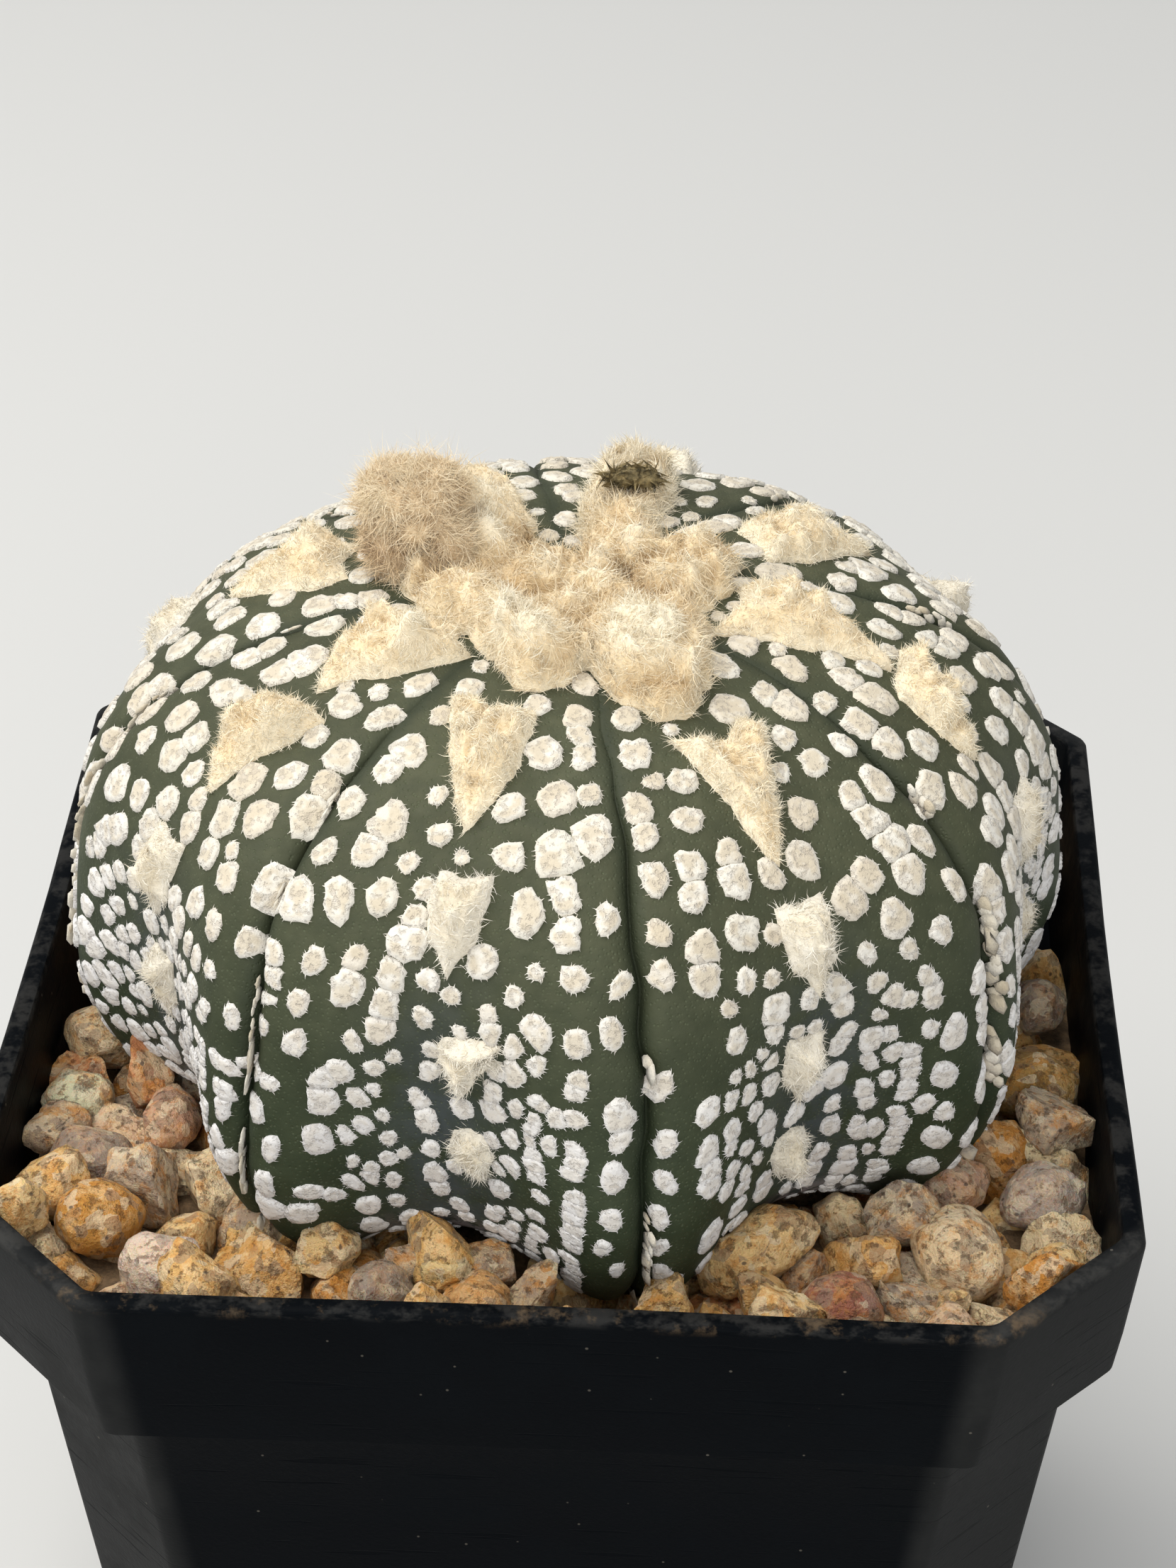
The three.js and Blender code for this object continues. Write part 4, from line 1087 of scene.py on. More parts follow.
def crown_core():
    points, faces = CROWN_STAMP
    angle = np.arctan2(points[:, 1], points[:, 0])
    radius = np.hypot(points[:, 0], points[:, 1])
    degrees = np.degrees(angle)
    ring = np.stack([np.cos(angle) * 9, np.sin(angle) * 9, np.zeros_like(angle)], axis=-1)
    edge = crown_reach(degrees) * (1 + 0.07 * cloud(ring, 1.6, 3) + 0.05 * cloud(ring, 0.5, 4))
    along = edge * radius
    ground = skin(along, degrees)
    rise = np.zeros(len(points))
    for puff_angle, at, size in CROWN_PUFFS:
        apart = np.linalg.norm(ground - skin(at, puff_angle), axis=1) / size
        rise = np.maximum(rise, size * np.sqrt(np.clip(1 - apart**2, 0, 1)))
    lumps = cotton(ground, 12)
    free = from_border(ground, radius > 0.999)
    inner = smooth(free, 0.2, 2.0)
    rim = 0.36 * smooth(free, -0.05, 0.3) - 0.12 * (radius > 0.999)
    lifted = rim + inner * (0.1 + 0.8 * rise + 0.75 * lumps)
    # Light at the rim, and on the cap the higher puffs and lumps are lighter: painted light on their tops
    # and painted shade in the valleys.
    hill = np.clip(0.66 * (1 - inner) + inner * (0.17 * rise + 0.24 * lumps), 0, 1)
    return skin(along, degrees, lifted), faces, hill


crown_points, crown_faces, crown_hill = crown_core()
crown_layers = [core_layer(crown_points, crown_faces, crown_hill)]
crown_layers.append(hair_layer(crown_points, crown_faces, crown_hill, 33000, 1.25, 0.085, 0.42, 400, 1.0))
crown_layers.append(hair_layer(crown_points, crown_faces, crown_hill, 2500, 2.4, 0.06, 0.8, 430))
build_piece("crown_fleece", crown_layers, CREAM, ["crown_wool"])

# %% [markdown]
# ## Bud
# One bud is wrapped in a ball of wool that stands up from the crown. The ball is beige with a pinkish
# cast, with reddish-brown bits of the bud's scales caught in it, and it is the fluffiest thing on the
# plant.

# %% Bud
BUD_STAMP = ball_stamp(5)
PINKISH = wool_finish("bud_wool", (0.36, 0.23, 0.12), (0.75, 0.57, 0.35), (0.94, 0.81, 0.58), 0.03)
BUD_LOBES = [
    (0, 0, 0, 3.6), (-1.4, 0.2, 1.0, 2.8), (1.2, 0, 1.7, 2.4), (1.7, -0.8, -2.3, 3.2),
    (-0.8, -0.8, -2.0, 3.0),
]


def lobed_ball(points, lobes):
    """A ball's points moved out to the surface of several balls that have grown together."""
    reach = np.zeros(len(points))
    for *offset, radius in lobes:
        toward = points @ np.array(offset)
        beyond = np.clip(toward**2 - np.dot(offset, offset) + radius**2, 0, None)
        reach = np.maximum(reach, toward + np.sqrt(beyond))
    return points * reach[:, None]


def bud_core():
    points, faces = BUD_STAMP
    ground = skin(BUD_AT, BUD_ANGLE)
    out = unit(skin(BUD_AT, BUD_ANGLE, 1.0) - ground)
    lumps = cotton(points * 4.5, 41, 1.1)
    ball = lobed_ball(points, BUD_LOBES) + points * (0.35 * lumps)[:, None]
    # Lighter on the lumps and towards the top: painted light from above and painted shade below and between
    # the lumps.
    hill = np.clip(0.46 + 0.22 * lumps + 0.22 * points[:, 2], 0, 1)
    return ball + ground + out * (BUD_LIFT - 0.1), faces, hill


bud_points, bud_faces, bud_hill = bud_core()
bud_layers = [core_layer(bud_points, bud_faces, bud_hill)]
bud_layers.append(hair_layer(bud_points, bud_faces, bud_hill, 20000, 1.7, 0.08, 0.45, 500, 1.6))
bud_layers.append(hair_layer(bud_points, bud_faces, bud_hill, 3000, 2.8, 0.06, 0.6, 530, 2.0))
build_piece("bud_fleece", bud_layers, PINKISH, ["bud_wool"])

# %% [markdown]
# ## Dried flower
# On the rib behind the crown a spent flower has dried into a dark brown stub, sunk in its own tuft of
# wool.

# %% Flower tuft
def build_flower():
    middle = rib_middle(FLOWER_RIB)
    seat = skin(FLOWER_AT - 2.8, middle - 3.5, 2.6)
    points, faces, hill = felt_patch(SHIELD_STAMP, FLOWER_RIB, FLOWER_AT, 3.6, FLOWER, 81, 0.6, 0.5)
    near = np.exp(-((np.linalg.norm(points - seat, axis=1) / 1.2) ** 2))
    inward = unit(skin(FLOWER_AT, middle) - seat)
    # The wool round the stub's seat is pressed in and darkened; the darkening is painted shade in that
    # hollow.
    points, hill = points + inward * 0.8 * near[:, None], np.clip(hill - 0.6 * near, 0, 1)
    hair = hair_layer(points, faces, hill, 9000, 1.5, 0.085, 0.5, 620, 1.5)
    build_piece("flower_tuft", [core_layer(points, faces, hill), hair], CREAM, ["flower_tuft_wool"])
    ball, ball_faces = ball_stamp(3)
    shape = ball * (1.9, 0.9, 0.8) * (1 + 0.4 * cloud(ball * 3, 1.0, 7)[:, None])
    stub = shape + seat
    flat = np.full(len(stub), 0.5)
    petals = hair_layer(stub, ball_faces, flat, 160, 1.3, 0.45, 0.2, 640)
    dry = Finish("dried_petal", {"Roughness": 0.85})
    colour = dry.ramp(dry.grain(0.8, 4, 0.7), [(0.35, (0.035, 0.027, 0.01)), (0.7, (0.28, 0.21, 0.09))])
    material = dry.finish(colour, normal=dry.relief(dry.grain(0.3, 4), 0.1))
    layers = [core_layer(stub, ball_faces, flat), petals]
    build_piece("dried_flower_stub", layers, material, ["dried_flower"])


build_flower()

# %% [markdown]
# ## Seam crust
# Where two ribs meet, the groove is lined with a thin broken crust of cream-coloured crumbs. They are
# small stretched balls strung along the fold, thicker towards the ground.

# %% Seam crumbs
def seam_crumbs():
    points, faces = ball_stamp(1)
    draw = np.random.default_rng(71)
    places = []
    for number, groove in enumerate(GROOVES):
        along = 20.0
        while along < FOOT_ALONG:
            low = float(smooth(along, 30, 46))
            shown = float(cloud(np.array([along, groove, 0.0]), 3.5, 9)) + 0.8 * low - 0.4
            step = draw.uniform(0.35, 0.9)
            if shown > 0:
                size = draw.uniform(0.1, 0.19) * (1 + 0.5 * low)
                aside = 0.22 + draw.normal(0, 0.1) + float(waver(np.array(along), number))
                turned = groove + math.degrees(aside / radius_at(along))
                down = points[:, 0] * size * draw.uniform(2.0, 5.0)
                across = points[:, 1] * size * draw.uniform(0.8, 1.4)
                lifted = 0.5 + 0.5 * low + points[:, 2] * size + draw.uniform(-0.2, 0.15)
                places.append(skin(along + down, turned + np.degrees(across / radius_at(along)), lifted))
            along += step
    return layer(np.array(places), faces, tone=draw.random(len(places))[:, None], hill=0.6, loose=0.0)


CRUST = wool_finish("seam_crust", (0.34, 0.26, 0.16), (0.6, 0.52, 0.38), (0.8, 0.75, 0.64))
build_piece("seam_crust", [seam_crumbs()], CRUST)

# %% [markdown]
# ## Gravel
# The dressing is decomposed granite grit: rounded but still angular stones of 4 to 8 mm in ochre, cream,
# orange and grey quartz. Stones that lie on each other look right only if they really rest, so round
# stand-ins are settled first: they fall, push each other apart and stop at the walls and the plant. Each
# then becomes a stone by cutting its stamp with random planes, as grit breaks, and roughening it. What
# would pass through the wall is moved back to its inner face, and a few small stones, listed one by one,
# are wedged where the plant comes close to the wall.

# %% Settle the stones
WALL_INSIDE, CORNER_INSIDE = 40.2, 70.4
LOOSE_STONES = {
    "stone_tan_left": (-36.2, -4.5, 73.4, 7), "stone_greenish_left": (-36.8, -13, 73.6, 5.6),
    "stone_pink_left": (-29.4, -15.6, 74.4, 5.4), "stone_brown_quartz_left": (-34.6, -20.6, 74, 6.6),
    "stone_ochre_left": (-32.8, -28, 75, 7), "stone_milky_quartz": (-27.2, -33.6, 75.4, 6.4),
    "stone_grey_quartz_front": (-11.8, -34.6, 75.2, 5.2), "stone_orange_front": (-4.4, -36, 75.4, 5.6),
    "stone_red_front": (21.2, -34.8, 75.4, 6), "stone_cream_right": (29.6, -28.8, 75.6, 7.4),
    "stone_grey_quartz_right": (36, -22, 75, 6.4), "stone_pinkish_right": (29.6, -20.4, 74.6, 5.6),
    "stone_spotted_right": (36.2, -9, 75, 6.8), "stone_grey_brown_right": (37, 2, 74.4, 5),
}
STONE_TOP_FRONT, STONE_TOP_LEFT = 77.4, 74.8
BED_DEPTH, SEEN_DEPTH, GROUND_DEPTH = 8.6, 2.8, 5.2


def top_of_bed(x, y):
    left = smooth(-x, 27, 39) * smooth(y, -26, -8)
    right = smooth(x, 33, 41) * smooth(y, -20, 10) * 0.5
    middle = np.exp(-(((x - 3) / 6) ** 2)) * smooth(-y, 26, 32) * 1.7
    slope = (STONE_TOP_FRONT - STONE_TOP_LEFT) * np.maximum(np.maximum(left, right), middle)
    narrow = smooth(-x, 28, 36) * smooth(y, -4, 3) + smooth(x, 30, 37) * smooth(y, 10, 17)
    return STONE_TOP_FRONT - slope - 6.5 * narrow * (1 - smooth(y, 26, 34))


def inside_half(z):
    """Half the pot's clear width at a height: the wall steps in below the band."""
    return np.where(z < 67.7, 36.8 - 0.095 * (66.5 - z), WALL_INSIDE)


def keep_inside(points):
    """Moves what would pass through the pot's wall or cut corners back to its inner face."""
    half = inside_half(points[..., 2])
    flat = np.clip(points[..., :2], -half[..., None], half[..., None])
    excess = np.clip(np.abs(flat).sum(axis=-1) - (2 * half - 10), 0, None) / 2
    return np.concatenate([flat - np.sign(flat) * excess[..., None], points[..., 2:]], axis=-1)


def plant_reach(z, degrees):
    """The plant's own radius at a height, for stones that lean on it."""
    outside = (PROFILE_ALONG > 30) & (PROFILE_ALONG < FOOT_ALONG)
    r = np.interp(-z, -PROFILE_Z[outside], PROFILE_R[outside])
    across = rib_position(degrees)[1]
    return np.where(z > FOOT_HEIGHT - 1, r + 1.7 * np.cos(math.tau * across), FOOT_RADIUS - 1.5)


def settle_stones(count=390, rounds=260):
    draw = np.random.default_rng(8)
    fixed = np.array(list(LOOSE_STONES.values()))
    radii = np.concatenate([fixed[:, 3] / 2, 1.2 + 2.5 * draw.random(count) ** 0.8])
    angle = draw.uniform(0, math.tau, count)
    reach = draw.uniform(33, 52, count)
    flat = np.clip(np.stack([reach * np.cos(angle), reach * np.sin(angle)], axis=1), -38, 38)
    start = np.column_stack([flat, draw.uniform(70, 80, count)])
    centres = np.concatenate([fixed[:, :3], start])
    loose = np.arange(len(centres)) >= len(fixed)
    for step in range(rounds):
        centres[loose, 2] -= 0.12 if step < rounds - 40 else 0.03
        gap = centres[:, None] - centres[None]
        apart = np.linalg.norm(gap, axis=-1) + np.eye(len(centres)) * 99
        overlap = np.clip(0.93 * (radii[:, None] + radii[None]) - apart, 0, None)
        push = np.sum(gap / apart[..., None] * overlap[..., None], axis=1) * 0.32
        centres[loose] += push[loose]
        floor = top_of_bed(centres[:, 0], centres[:, 1]) - BED_DEPTH + radii
        centres[loose, 2] = np.maximum(centres[loose, 2], floor[loose])
        room = inside_half(centres[:, 2] - 0.5 * radii) - 0.96 * radii
        centres[loose, :2] = np.clip(centres[loose, :2], -room[loose, None], room[loose, None])
        over = np.abs(centres[:, 0]) + np.abs(centres[:, 1]) - (CORNER_INSIDE - 1.35 * radii)
        inward = np.sign(centres[:, :2]) * np.clip(over, 0, None)[:, None] / 2
        centres[loose, :2] -= inward[loose]
        offset = centres[:, :2] - AXIS
        distance = np.linalg.norm(offset, axis=1)
        reach_now = plant_reach(centres[:, 2], np.degrees(np.arctan2(offset[:, 1], offset[:, 0])))
        short = np.clip(reach_now + 0.9 * radii - distance, 0, None)
        centres[loose, :2] += (offset / distance[:, None] * short[:, None])[loose]
    return centres, radii, loose


stone_centres, stone_radii, stone_loose = settle_stones()
stone_tops = stone_centres[:, 2] + stone_radii
bed_tops = top_of_bed(stone_centres[:, 0], stone_centres[:, 1])
high = stone_tops > bed_tops + 0.9 + 1.3 * smooth(-stone_centres[:, 1], 16, 26)
stone_room = inside_half(stone_centres[:, 2])
stone_loose &= ~high & (np.abs(stone_centres[:, :2]).max(axis=1) < stone_room)
print("settled", int(stone_loose.sum()), "stones, highest", round(float(stone_tops[stone_loose].max()), 1))

# %% Stone shapes
def broken_stone(points, seed):
    """A ball of radius 1 broken by planes: long first breaks, then chips off its corners, then wear."""
    draw = np.random.default_rng(seed)
    shape = points * draw.uniform(0.75, 1.3, size=3)
    for facet in range(13):
        normal = unit(draw.normal(size=3))
        depth = shape @ normal - draw.uniform(0.42, 0.74)
        shape = shape - np.clip(depth, 0, None)[:, None] * normal
    for chip in range(7):
        normal = unit(draw.normal(size=3))
        depth = shape @ normal
        shape = shape - np.clip(depth - depth.max() + draw.uniform(0.02, 0.13), 0, None)[:, None] * normal
    worn = 0.11 * cloud(shape, 0.5, seed) + 0.07 * cloud(shape, 0.22, seed + 1)
    worn = worn + 0.035 * cloud(shape, 0.1, seed + 2)
    shape = shape * (1 + worn)[:, None]
    turn = np.linalg.qr(draw.normal(size=(3, 3)))[0]
    turn = turn * np.sign(np.linalg.det(turn))
    return shape @ turn.T


def stone_layer(centres, radii, subdivisions, seed):
    points, faces = ball_stamp(subdivisions)
    shapes = [broken_stone(points, seed + number) * radius * 1.46 for number, radius in enumerate(radii)]
    tone = np.random.default_rng(seed).random(len(radii))
    return layer(keep_inside(np.array(shapes) + centres[:, None]), faces, tone=tone[:, None])


MINERALS = [
    (0.0, (0.74, 0.4, 0.12)), (0.14, (0.86, 0.58, 0.25)), (0.29, (0.6, 0.25, 0.04)),
    (0.39, (0.42, 0.3, 0.2)),
    (0.48, (0.8, 0.47, 0.16)), (0.61, (0.9, 0.7, 0.42)), (0.76, (0.56, 0.23, 0.09)),
    (0.83, (0.5, 0.39, 0.28)),
    (0.92, (0.76, 0.52, 0.33)),
]


def grit_finish(name, base=None, glassy=0.0):
    """Weathered granite: patches of cream and rust, grains of feldspar and smoky quartz, specks of mica, and
    pits darkened as painted shade.
    """
    translucent = {"Subsurface Weight": 0.12 + 0.3 * glassy, "Subsurface Scale": 1.2 * MM}
    constants = {"Specular IOR Level": 0.45 + 0.25 * glassy, **translucent}
    grit = Finish(name, constants)
    own = base or grit.ramp(grit.value("tone"), MINERALS, "CONSTANT")
    pale = grit.grain(1.5, 5, 0.75).between(0.44, 0.62)
    colour = grit.blend(pale * (0.35 if base else 0.55), own, (0.94, 0.7, 0.38))
    rust = grit.grain(2.0, 5, 0.8).between(0.46, 0.64)
    colour = grit.blend(rust * (0.75 - 0.6 * glassy), colour, (0.6, 0.24, 0.03))
    nearness, crystal = grit.cells(1.0, 0.9)
    colour = grit.blend(crystal.between(0.8, 0.83) * 0.5, colour, (0.8, 0.67, 0.46))
    colour = grit.blend((1 - crystal.between(0.14, 0.17)) * 0.5, colour, (0.26, 0.2, 0.15))
    mica, chosen = grit.cells(0.9, 0.4)
    flakes = (1 - mica.between(0.12, 0.24)) * chosen.between(0.84, 0.86)
    colour = grit.blend(flakes * 0.8, colour, (0.08, 0.055, 0.04))
    # The pits, the low parts of the relief, are darkened in colour: painted shade.
    pits = grit.grain(0.9, 5, 0.75).between(0.34, 0.47)
    colour = grit.blend((1 - pits) * 0.6, colour, (0.16, 0.07, 0.018))
    roughness = 0.6 - 0.36 * glassy * pits + 0.16 * rust
    relief = 0.5 * nearness + 1.2 * grit.grain(0.7, 5, 0.75) + 0.6 * pits + 0.4 * grit.grain(0.25, 3, 0.6)
    return grit.finish(colour, roughness, grit.relief(relief, 0.5))


# %% Gravel bed
WEDGED_STONES = [
    (-16.2, -30.4, 75.2, 2.1), (-9.8, -32.2, 75.5, 2.1), (-6.6, -32.4, 75.7, 1.7), (-3.6, -32.8, 75.6, 2),
    (-0.6, -34.6, 75.6, 1.7), (2.2, -37.6, 75.6, 1.5), (8.4, -35.4, 75.8, 1.9),
]


def build_gravel():
    surface = stone_tops > bed_tops - SEEN_DEPTH
    upper, lower = stone_loose & surface, stone_loose & ~surface
    finish = grit_finish("granite_grit")
    wedged = np.array(WEDGED_STONES)
    centres = np.concatenate([stone_centres[upper], wedged[:, :3]])
    seen = stone_layer(centres, np.concatenate([stone_radii[upper], wedged[:, 3]]), 4, 1000)
    build_piece("gravel_top_stones", [seen], finish, ["gravel_bed"])
    below = stone_layer(stone_centres[lower], stone_radii[lower], 2, 3000)
    build_piece("gravel_lower_stones", [below], finish)
    print(int(upper.sum()), "stones on top,", int(lower.sum()), "below")


build_gravel()

# %% [markdown]
# ## Loose stones
# Fourteen large stones of the solid model are each a piece of their own. Their plain solids are copied,
# welded, cut finer and roughened, so that each keeps its place and its form.

# %% Loose stones
STONE_COLOURS = {
    "stone_tan_left": ((0.5, 0.36, 0.2), 0.1), "stone_greenish_left": ((0.5, 0.48, 0.31), 0.1),
    "stone_pink_left": ((0.47, 0.26, 0.16), 0.2), "stone_brown_quartz_left": ((0.27, 0.2, 0.15), 0.8),
    "stone_ochre_left": ((0.46, 0.21, 0.035), 0.0), "stone_milky_quartz": ((0.6, 0.47, 0.37), 0.8),
    "stone_grey_quartz_front": ((0.28, 0.22, 0.17), 0.8), "stone_orange_front": ((0.56, 0.3, 0.11), 0.1),
    "stone_red_front": ((0.28, 0.1, 0.06), 0.3), "stone_cream_right": ((0.62, 0.46, 0.27), 0.1),
    "stone_grey_quartz_right": ((0.36, 0.29, 0.24), 0.8), "stone_pinkish_right": ((0.46, 0.29, 0.2), 0.4),
    "stone_spotted_right": ((0.32, 0.18, 0.045), 0.1), "stone_grey_brown_right": ((0.25, 0.19, 0.14), 0.6),
}


def build_loose_stone(node, number):
    bm = bmesh.new()
    bm.from_mesh(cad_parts[node].data)
    bmesh.ops.remove_doubles(bm, verts=bm.verts, dist=1e-6)
    bmesh.ops.subdivide_edges(bm, edges=bm.edges, cuts=3, use_grid_fill=True)
    bmesh.ops.triangulate(bm, faces=bm.faces)
    every_axis = {"use_axis_x": True, "use_axis_y": True, "use_axis_z": True}
    for wear in range(2):
        bmesh.ops.smooth_vert(bm, verts=bm.verts, factor=0.5, **every_axis)
    centre = np.mean([v.co for v in bm.verts], axis=0)
    points, faces = stamp_of(bm)
    points, centre = points / MM, centre / MM
    outward = unit(points - centre)
    worn = 0.16 * cloud(points, 1.6, number) + 0.08 * cloud(points, 0.7, number)
    worn = worn + 0.04 * cloud(points, 0.3, number)
    points = points + outward * 1.5 * worn[:, None]
    colour, glassy = tuple(1.3 * part for part in STONE_COLOURS[node][0]), STONE_COLOURS[node][1]
    finish = grit_finish(node + "_mineral", colour, glassy)
    build_piece(node + "_fine", [layer(points[None], faces, tone=0.5)], finish, [node])


for number, node in enumerate(STONE_COLOURS):
    build_loose_stone(node, number)

# %% [markdown]
# ## Grit between the stones
# Under the stones lies finer grit and dust, which shows only in the gaps, as a dark ground whose darkness is
# partly painted shade.

# %% Ground of the bed
def build_bed_ground():
    bm = bmesh.new()
    bmesh.ops.create_grid(bm, x_segments=72, y_segments=72, size=0.5)
    grid = np.array([v.co for v in bm.verts])
    x, y = grid[:, 0] * 2 * WALL_INSIDE, grid[:, 1] * 2 * WALL_INSIDE
    excess = np.clip(np.abs(x) + np.abs(y) - CORNER_INSIDE, 0, None) / 2
    x, y = x - np.sign(x) * excess, y - np.sign(y) * excess
    z = top_of_bed(x, y) - GROUND_DEPTH
    flat = np.stack([x, y, np.zeros_like(x)], axis=-1)
    z = z + 0.8 * cloud(flat, 2.6, 3) + 0.4 * cloud(flat, 1.1, 4)
    for v, place in zip(bm.verts, np.stack([x, y, z], axis=-1)):
        v.co = place
    bmesh.ops.remove_doubles(bm, verts=bm.verts, dist=1e-3)
    points, faces = stamp_of(bm)
    dust = Finish("gravel_grit_and_shade", {"Roughness": 0.95})
    # Dark ground colour: partly the grit's own colour, partly painted shade deep in the gaps.
    colour = dust.ramp(dust.grain(1.2, 4, 0.7), [(0.3, (0.05, 0.032, 0.016)), (0.7, (0.24, 0.15, 0.075))])
    sheet = [layer(keep_inside(points)[None], faces, tone=0.5)]
    finish = dust.finish(colour, normal=dust.relief(dust.grain(0.5, 4), 0.3))
    build_piece("gravel_ground", sheet, finish)


build_bed_ground()

# %% [markdown]
# ## Pot
# The pot is thin injection-moulded plastic. Its wall is pulled up ring by ring: each ring is a square
# with cut, rounded corners, and extruding the ring's edges and moving them to the next one makes the
# wall, the band, the rolled lip and the inside in one go. The drain holes are cut by a Boolean, as a
# punch would.

# %% Pot mesh
POT_HEIGHT, RIM_HALF, RIM_CHAMFER, BAND_HEIGHT, BAND_FOOT_HALF = 80, 42.5, 10.5, 13.5, 41.4
BODY_TOP_HALF, BODY_CHAMFER, BODY_TAPER, WALL, LIP, FLOOR_THICKNESS = 38.5, 8.9, 0.095, 1.5, 1.8, 1.6
CORNER_RADIUS, DRAIN_RADIUS = 1.6, 4
DRAIN_REACHES = (20, 26)
BAND_FOOT = POT_HEIGHT - BAND_HEIGHT
INNER_SHELF = BAND_FOOT + 1.05
FACE_STEPS, CORNER_STEPS = 10, 6


def cut_square(half, chamfer):
    """A square with cut corners, each corner rounded, as points in order."""
    near = half - chamfer
    corners = [(near, -half), (half, -near), (half, near), (near, half)]
    corners = [Vector((*corner, 0)) for corner in corners + [(-x, -y) for x, y in corners]]
    points = []
    for number, corner in enumerate(corners):
        before, after = corners[number - 1] - corner, corners[(number + 1) % 8] - corner
        turn = math.pi / 4
        cut = CORNER_RADIUS * math.tan(turn / 2)
        start, end = corner + before.normalized() * cut, corner + after.normalized() * cut
        for step in range(CORNER_STEPS + 1):
            share = step / CORNER_STEPS
            points.append((1 - share) ** 2 * start + 2 * share * (1 - share) * corner + share**2 * end)
        following = corners[(number + 1) % 8]
        leave = following - (following - corner).normalized() * cut
        points += [end.lerp(leave, step / FACE_STEPS) for step in range(1, FACE_STEPS)]
    return points


def body_half(z):
    return BODY_TOP_HALF - BODY_TAPER * (BAND_FOOT - z)


def band_half(z):
    return BAND_FOOT_HALF + (RIM_HALF - BAND_FOOT_HALF) * (z - BAND_FOOT) / BAND_HEIGHT


def pot_rings():
    """Half width, chamfer and height of each ring, up the outside, over the lip and down the inside."""
    narrow = 2 - math.sqrt(2)
    foot = [(1.0, 0), (0.3, 0.12), (0.05, 0.5), (0, 1)]
    rings = [(body_half(0) - inset, BODY_CHAMFER - inset * narrow, z) for inset, z in foot]
    rings += [(body_half(z), BODY_CHAMFER, z) for z in (12, 26, 40, 54, BAND_FOOT - 0.6)]
    rings += [(body_half(BAND_FOOT) + 0.15, BODY_CHAMFER + 0.1, BAND_FOOT - 0.12)]
    rings += [(band_half(BAND_FOOT) - inset, RIM_CHAMFER + 0.25 - inset * narrow, BAND_FOOT + rise)
              for inset, rise in [(0.55, -0.02), (0.2, 0.02), (0.04, 0.16), (0, 0.45)]]
    rings += [(band_half(z), RIM_CHAMFER, z) for z in (BAND_FOOT + 4, BAND_FOOT + 8, POT_HEIGHT - 0.75)]
    lip = [(0.07, 0.4), (0.22, 0.16), (0.48, 0.02), (0.8, 0), (1.35, 0), (1.62, 0.08), (1.77, 0.3)]
    rings += [(RIM_HALF - inset, RIM_CHAMFER - inset * narrow, POT_HEIGHT - drop)
              for inset, drop in lip]
    behind_band = (POT_HEIGHT - 4, POT_HEIGHT - 8, INNER_SHELF)
    rings += [(band_half(z) - LIP, RIM_CHAMFER - LIP * narrow, z) for z in behind_band]
    behind_body = (BAND_FOOT - 1, 40, 12, FLOOR_THICKNESS)
    rings += [(body_half(z) - WALL, BODY_CHAMFER - WALL * narrow, z) for z in behind_body]
    return rings


def give(point, z):
    """The wall's own unevenness: its faces bow in a little, most at the rim."""
    bow = 0.28 * smooth(z, 20, 80) * smooth(1 - np.abs(np.array(point.to_2d())).min() / 32, 0, 1)
    wave = 0.06 * math.sin(0.21 * point.x + 1) * math.sin(0.17 * point.y + 0.6)
    return 1 - (float(bow) + abs(wave)) / 42


def pot_shell():
    bm = bmesh.new()
    rings = pot_rings()
    first = [bm.verts.new((*point.to_2d(), rings[0][2])) for point in cut_square(*rings[0][:2])]
    loop = [bm.edges.new((first[number - 1], first[number])) for number in range(len(first))]
    current = first
    for half, chamfer, z in rings[1:]:
        raised = bmesh.ops.extrude_edge_only(bm, edges=loop)["geom"]
        loop = [edge for edge in raised if isinstance(edge, bmesh.types.BMEdge)]
        following = []
        for vert, point in zip(current, cut_square(half, chamfer)):
            top = next(edge.other_vert(vert) for edge in vert.link_edges if edge.other_vert(vert) in raised)
            share = give(point, z)
            top.co = (point.x * share, point.y * share, z)
            following.append(top)
        current = following
    bm.faces.new(first)
    bm.faces.new(current)
    bmesh.ops.recalc_face_normals(bm, faces=bm.faces)
    return bm


def punch():
    bm = bmesh.new()
    for number in range(8):
        reach = DRAIN_REACHES[number % 2]
        angle = number * math.pi / 4
        place = Matrix.Translation((reach * math.cos(angle), reach * math.sin(angle), 0))
        size = {"radius1": DRAIN_RADIUS, "radius2": DRAIN_RADIUS, "depth": 8}
        bmesh.ops.create_cone(bm, cap_ends=True, segments=32, matrix=place, **size)
    return bm


def bare_object(name, bm):
    mesh = bpy.data.meshes.new(name)
    bm.to_mesh(mesh)
    bm.free()
    made = bpy.data.objects.new(name, mesh)
    bpy.context.collection.objects.link(made)
    return made


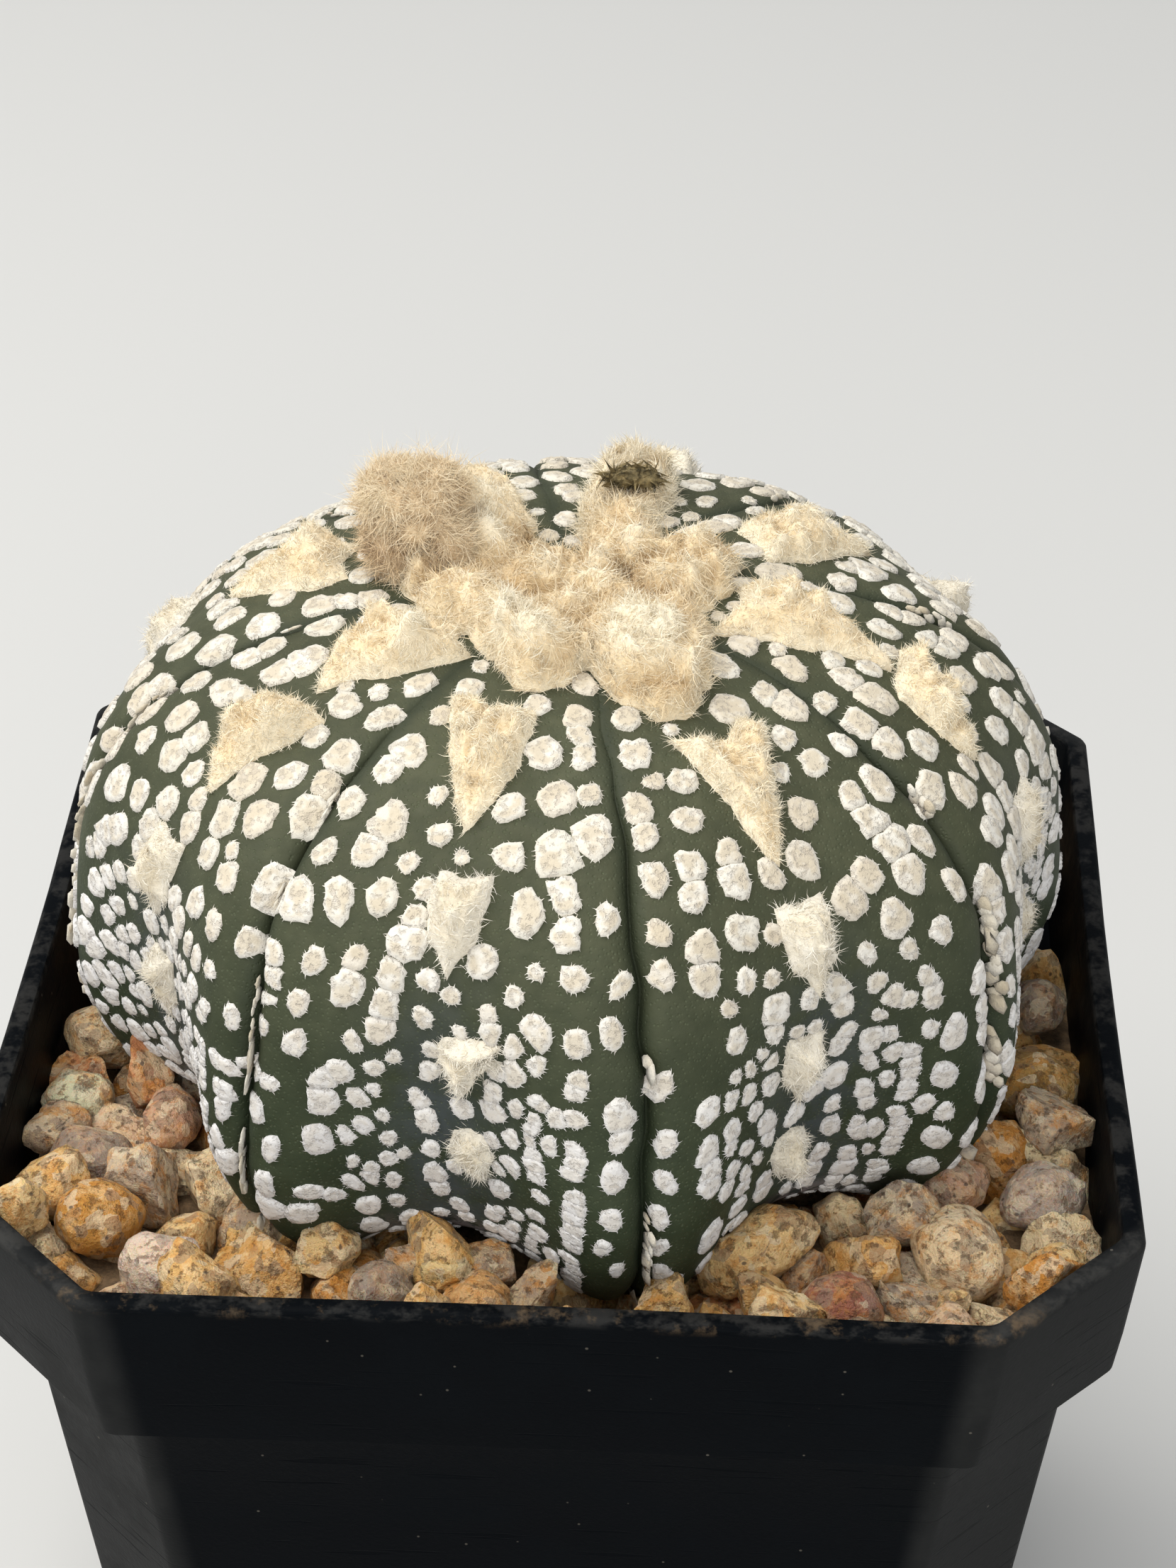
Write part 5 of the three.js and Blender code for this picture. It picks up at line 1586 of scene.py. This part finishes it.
def plastic_finish():
    black = Finish("pot_plastic", {"Specular IOR Level": 0.03})
    height = black.height()
    folded = black.node("VectorMath", {"operation": "ABSOLUTE"}, {0: black.place()})
    sideways = black.node("SeparateXYZ", {}, {0: folded})
    ahead = Wire(black, sideways.socket.node.outputs["Y"])
    spread = (sideways + ahead) * (1 / MM) - 0.19 * height
    # The cut corners of the band and the body are painted lighter grey, more where dust lies: dust and a
    # painted reflection of the bright room on the chamfers.
    banded = height.between(66.0, 66.6)
    corner = banded * spread.between(56.2, 58.4) + (1 - banded) * spread.between(53.2, 55.2)
    dust = black.grain(9, 5, 0.65).between(0.42, 0.7)
    dust_and_chamfer_sheen = black.blend(dust * 0.5, (0.0012, 0.0019, 0.0028), (0.0036, 0.0048, 0.006))
    dust_and_chamfer_sheen = black.blend(corner * (0.6 + 0.4 * dust), dust_and_chamfer_sheen, (0.02, 0.0205, 0.02))
    # The rim's top edge and the band's lower edge are lightened in patches: wear and a painted highlight
    # along those edges.
    edge = height.between(79.2, 79.9) + (1 - height.between(66.3, 66.8)) * height.between(65.9, 66.2)
    scuffs_and_edge_highlight = black.grain(1.1, 4, 0.7, (0.35, 0.35, 1)).between(0.44, 0.62)
    colour = black.blend(edge * scuffs_and_edge_highlight * 0.16, dust_and_chamfer_sheen, (0.11, 0.105, 0.095))
    specks = 1 - black.cells(2.6)[0].between(0.03, 0.055)
    colour = black.blend(specks * 0.22, colour, (0.3, 0.27, 0.22))
    stains = black.grain(3.4, 5, 0.7).between(0.5, 0.66) * height.between(79, 80)
    y = Wire(black, black.node("SeparateXYZ", {}, {0: black.place()}).socket.node.outputs["Y"]) * (1 / MM)
    colour = black.blend(stains * (1 - y.between(-41, -38)) * 0.45, colour, (0.17, 0.115, 0.065))
    scratches = black.grain(0.5, 2, 0.5, (0.05, 0.05, 1)).between(0.62, 0.7)
    roughness = 0.42 + 0.18 * dust + 0.08 * black.grain(0.6, 3) + scratches * 0.12
    relief = 0.5 * black.grain(0.35, 3, 0.6) + 0.5 * black.grain(6, 2) - 0.4 * scratches
    return black.finish(colour, roughness, black.relief(relief, 0.05))


def build_pot():
    shell, tool = bare_object("shell", pot_shell()), bare_object("punch", punch())
    cut = shell.modifiers.new("holes", "BOOLEAN")
    cut.operation, cut.solver, cut.object = "DIFFERENCE", "EXACT", tool
    bpy.context.view_layer.update()
    cut_mesh = bpy.data.meshes.new_from_object(shell.evaluated_get(bpy.context.evaluated_depsgraph_get()))
    bm = bmesh.new()
    bm.from_mesh(cut_mesh)
    for spare in (shell, tool):
        bpy.data.objects.remove(spare)
    points, faces = stamp_of(bm)
    whole = [layer(points[None], faces, tone=0.5)]
    pot = build_piece("nursery_pot", whole, plastic_finish(), ["pot"])
    pot.data.set_sharp_from_angle(angle=math.radians(38))


build_pot()

# %% [markdown]
# ## Potting mix
# The potting mix shows only through the drain holes. Its solid keeps its shape and gets the finish of
# dark bark crumbs with grains of pumice.

# %% Potting mix
def soil_finish():
    soil = Finish("potting_mix", {"Roughness": 0.95})
    colour = soil.ramp(soil.grain(1.5, 5, 0.7), [(0.3, (0.014, 0.009, 0.005)), (0.7, (0.07, 0.045, 0.026))])
    pumice = 1 - soil.cells(3.5)[0].between(0.14, 0.2)
    colour = soil.blend(pumice, colour, (0.42, 0.38, 0.32))
    return soil.finish(colour, normal=soil.relief(soil.grain(1.0, 5, 0.7), 0.6))


soil_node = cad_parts["potting_soil"]
soil_node.data.materials.clear()
soil_node.data.materials.append(soil_finish())
print("potting mix finished")
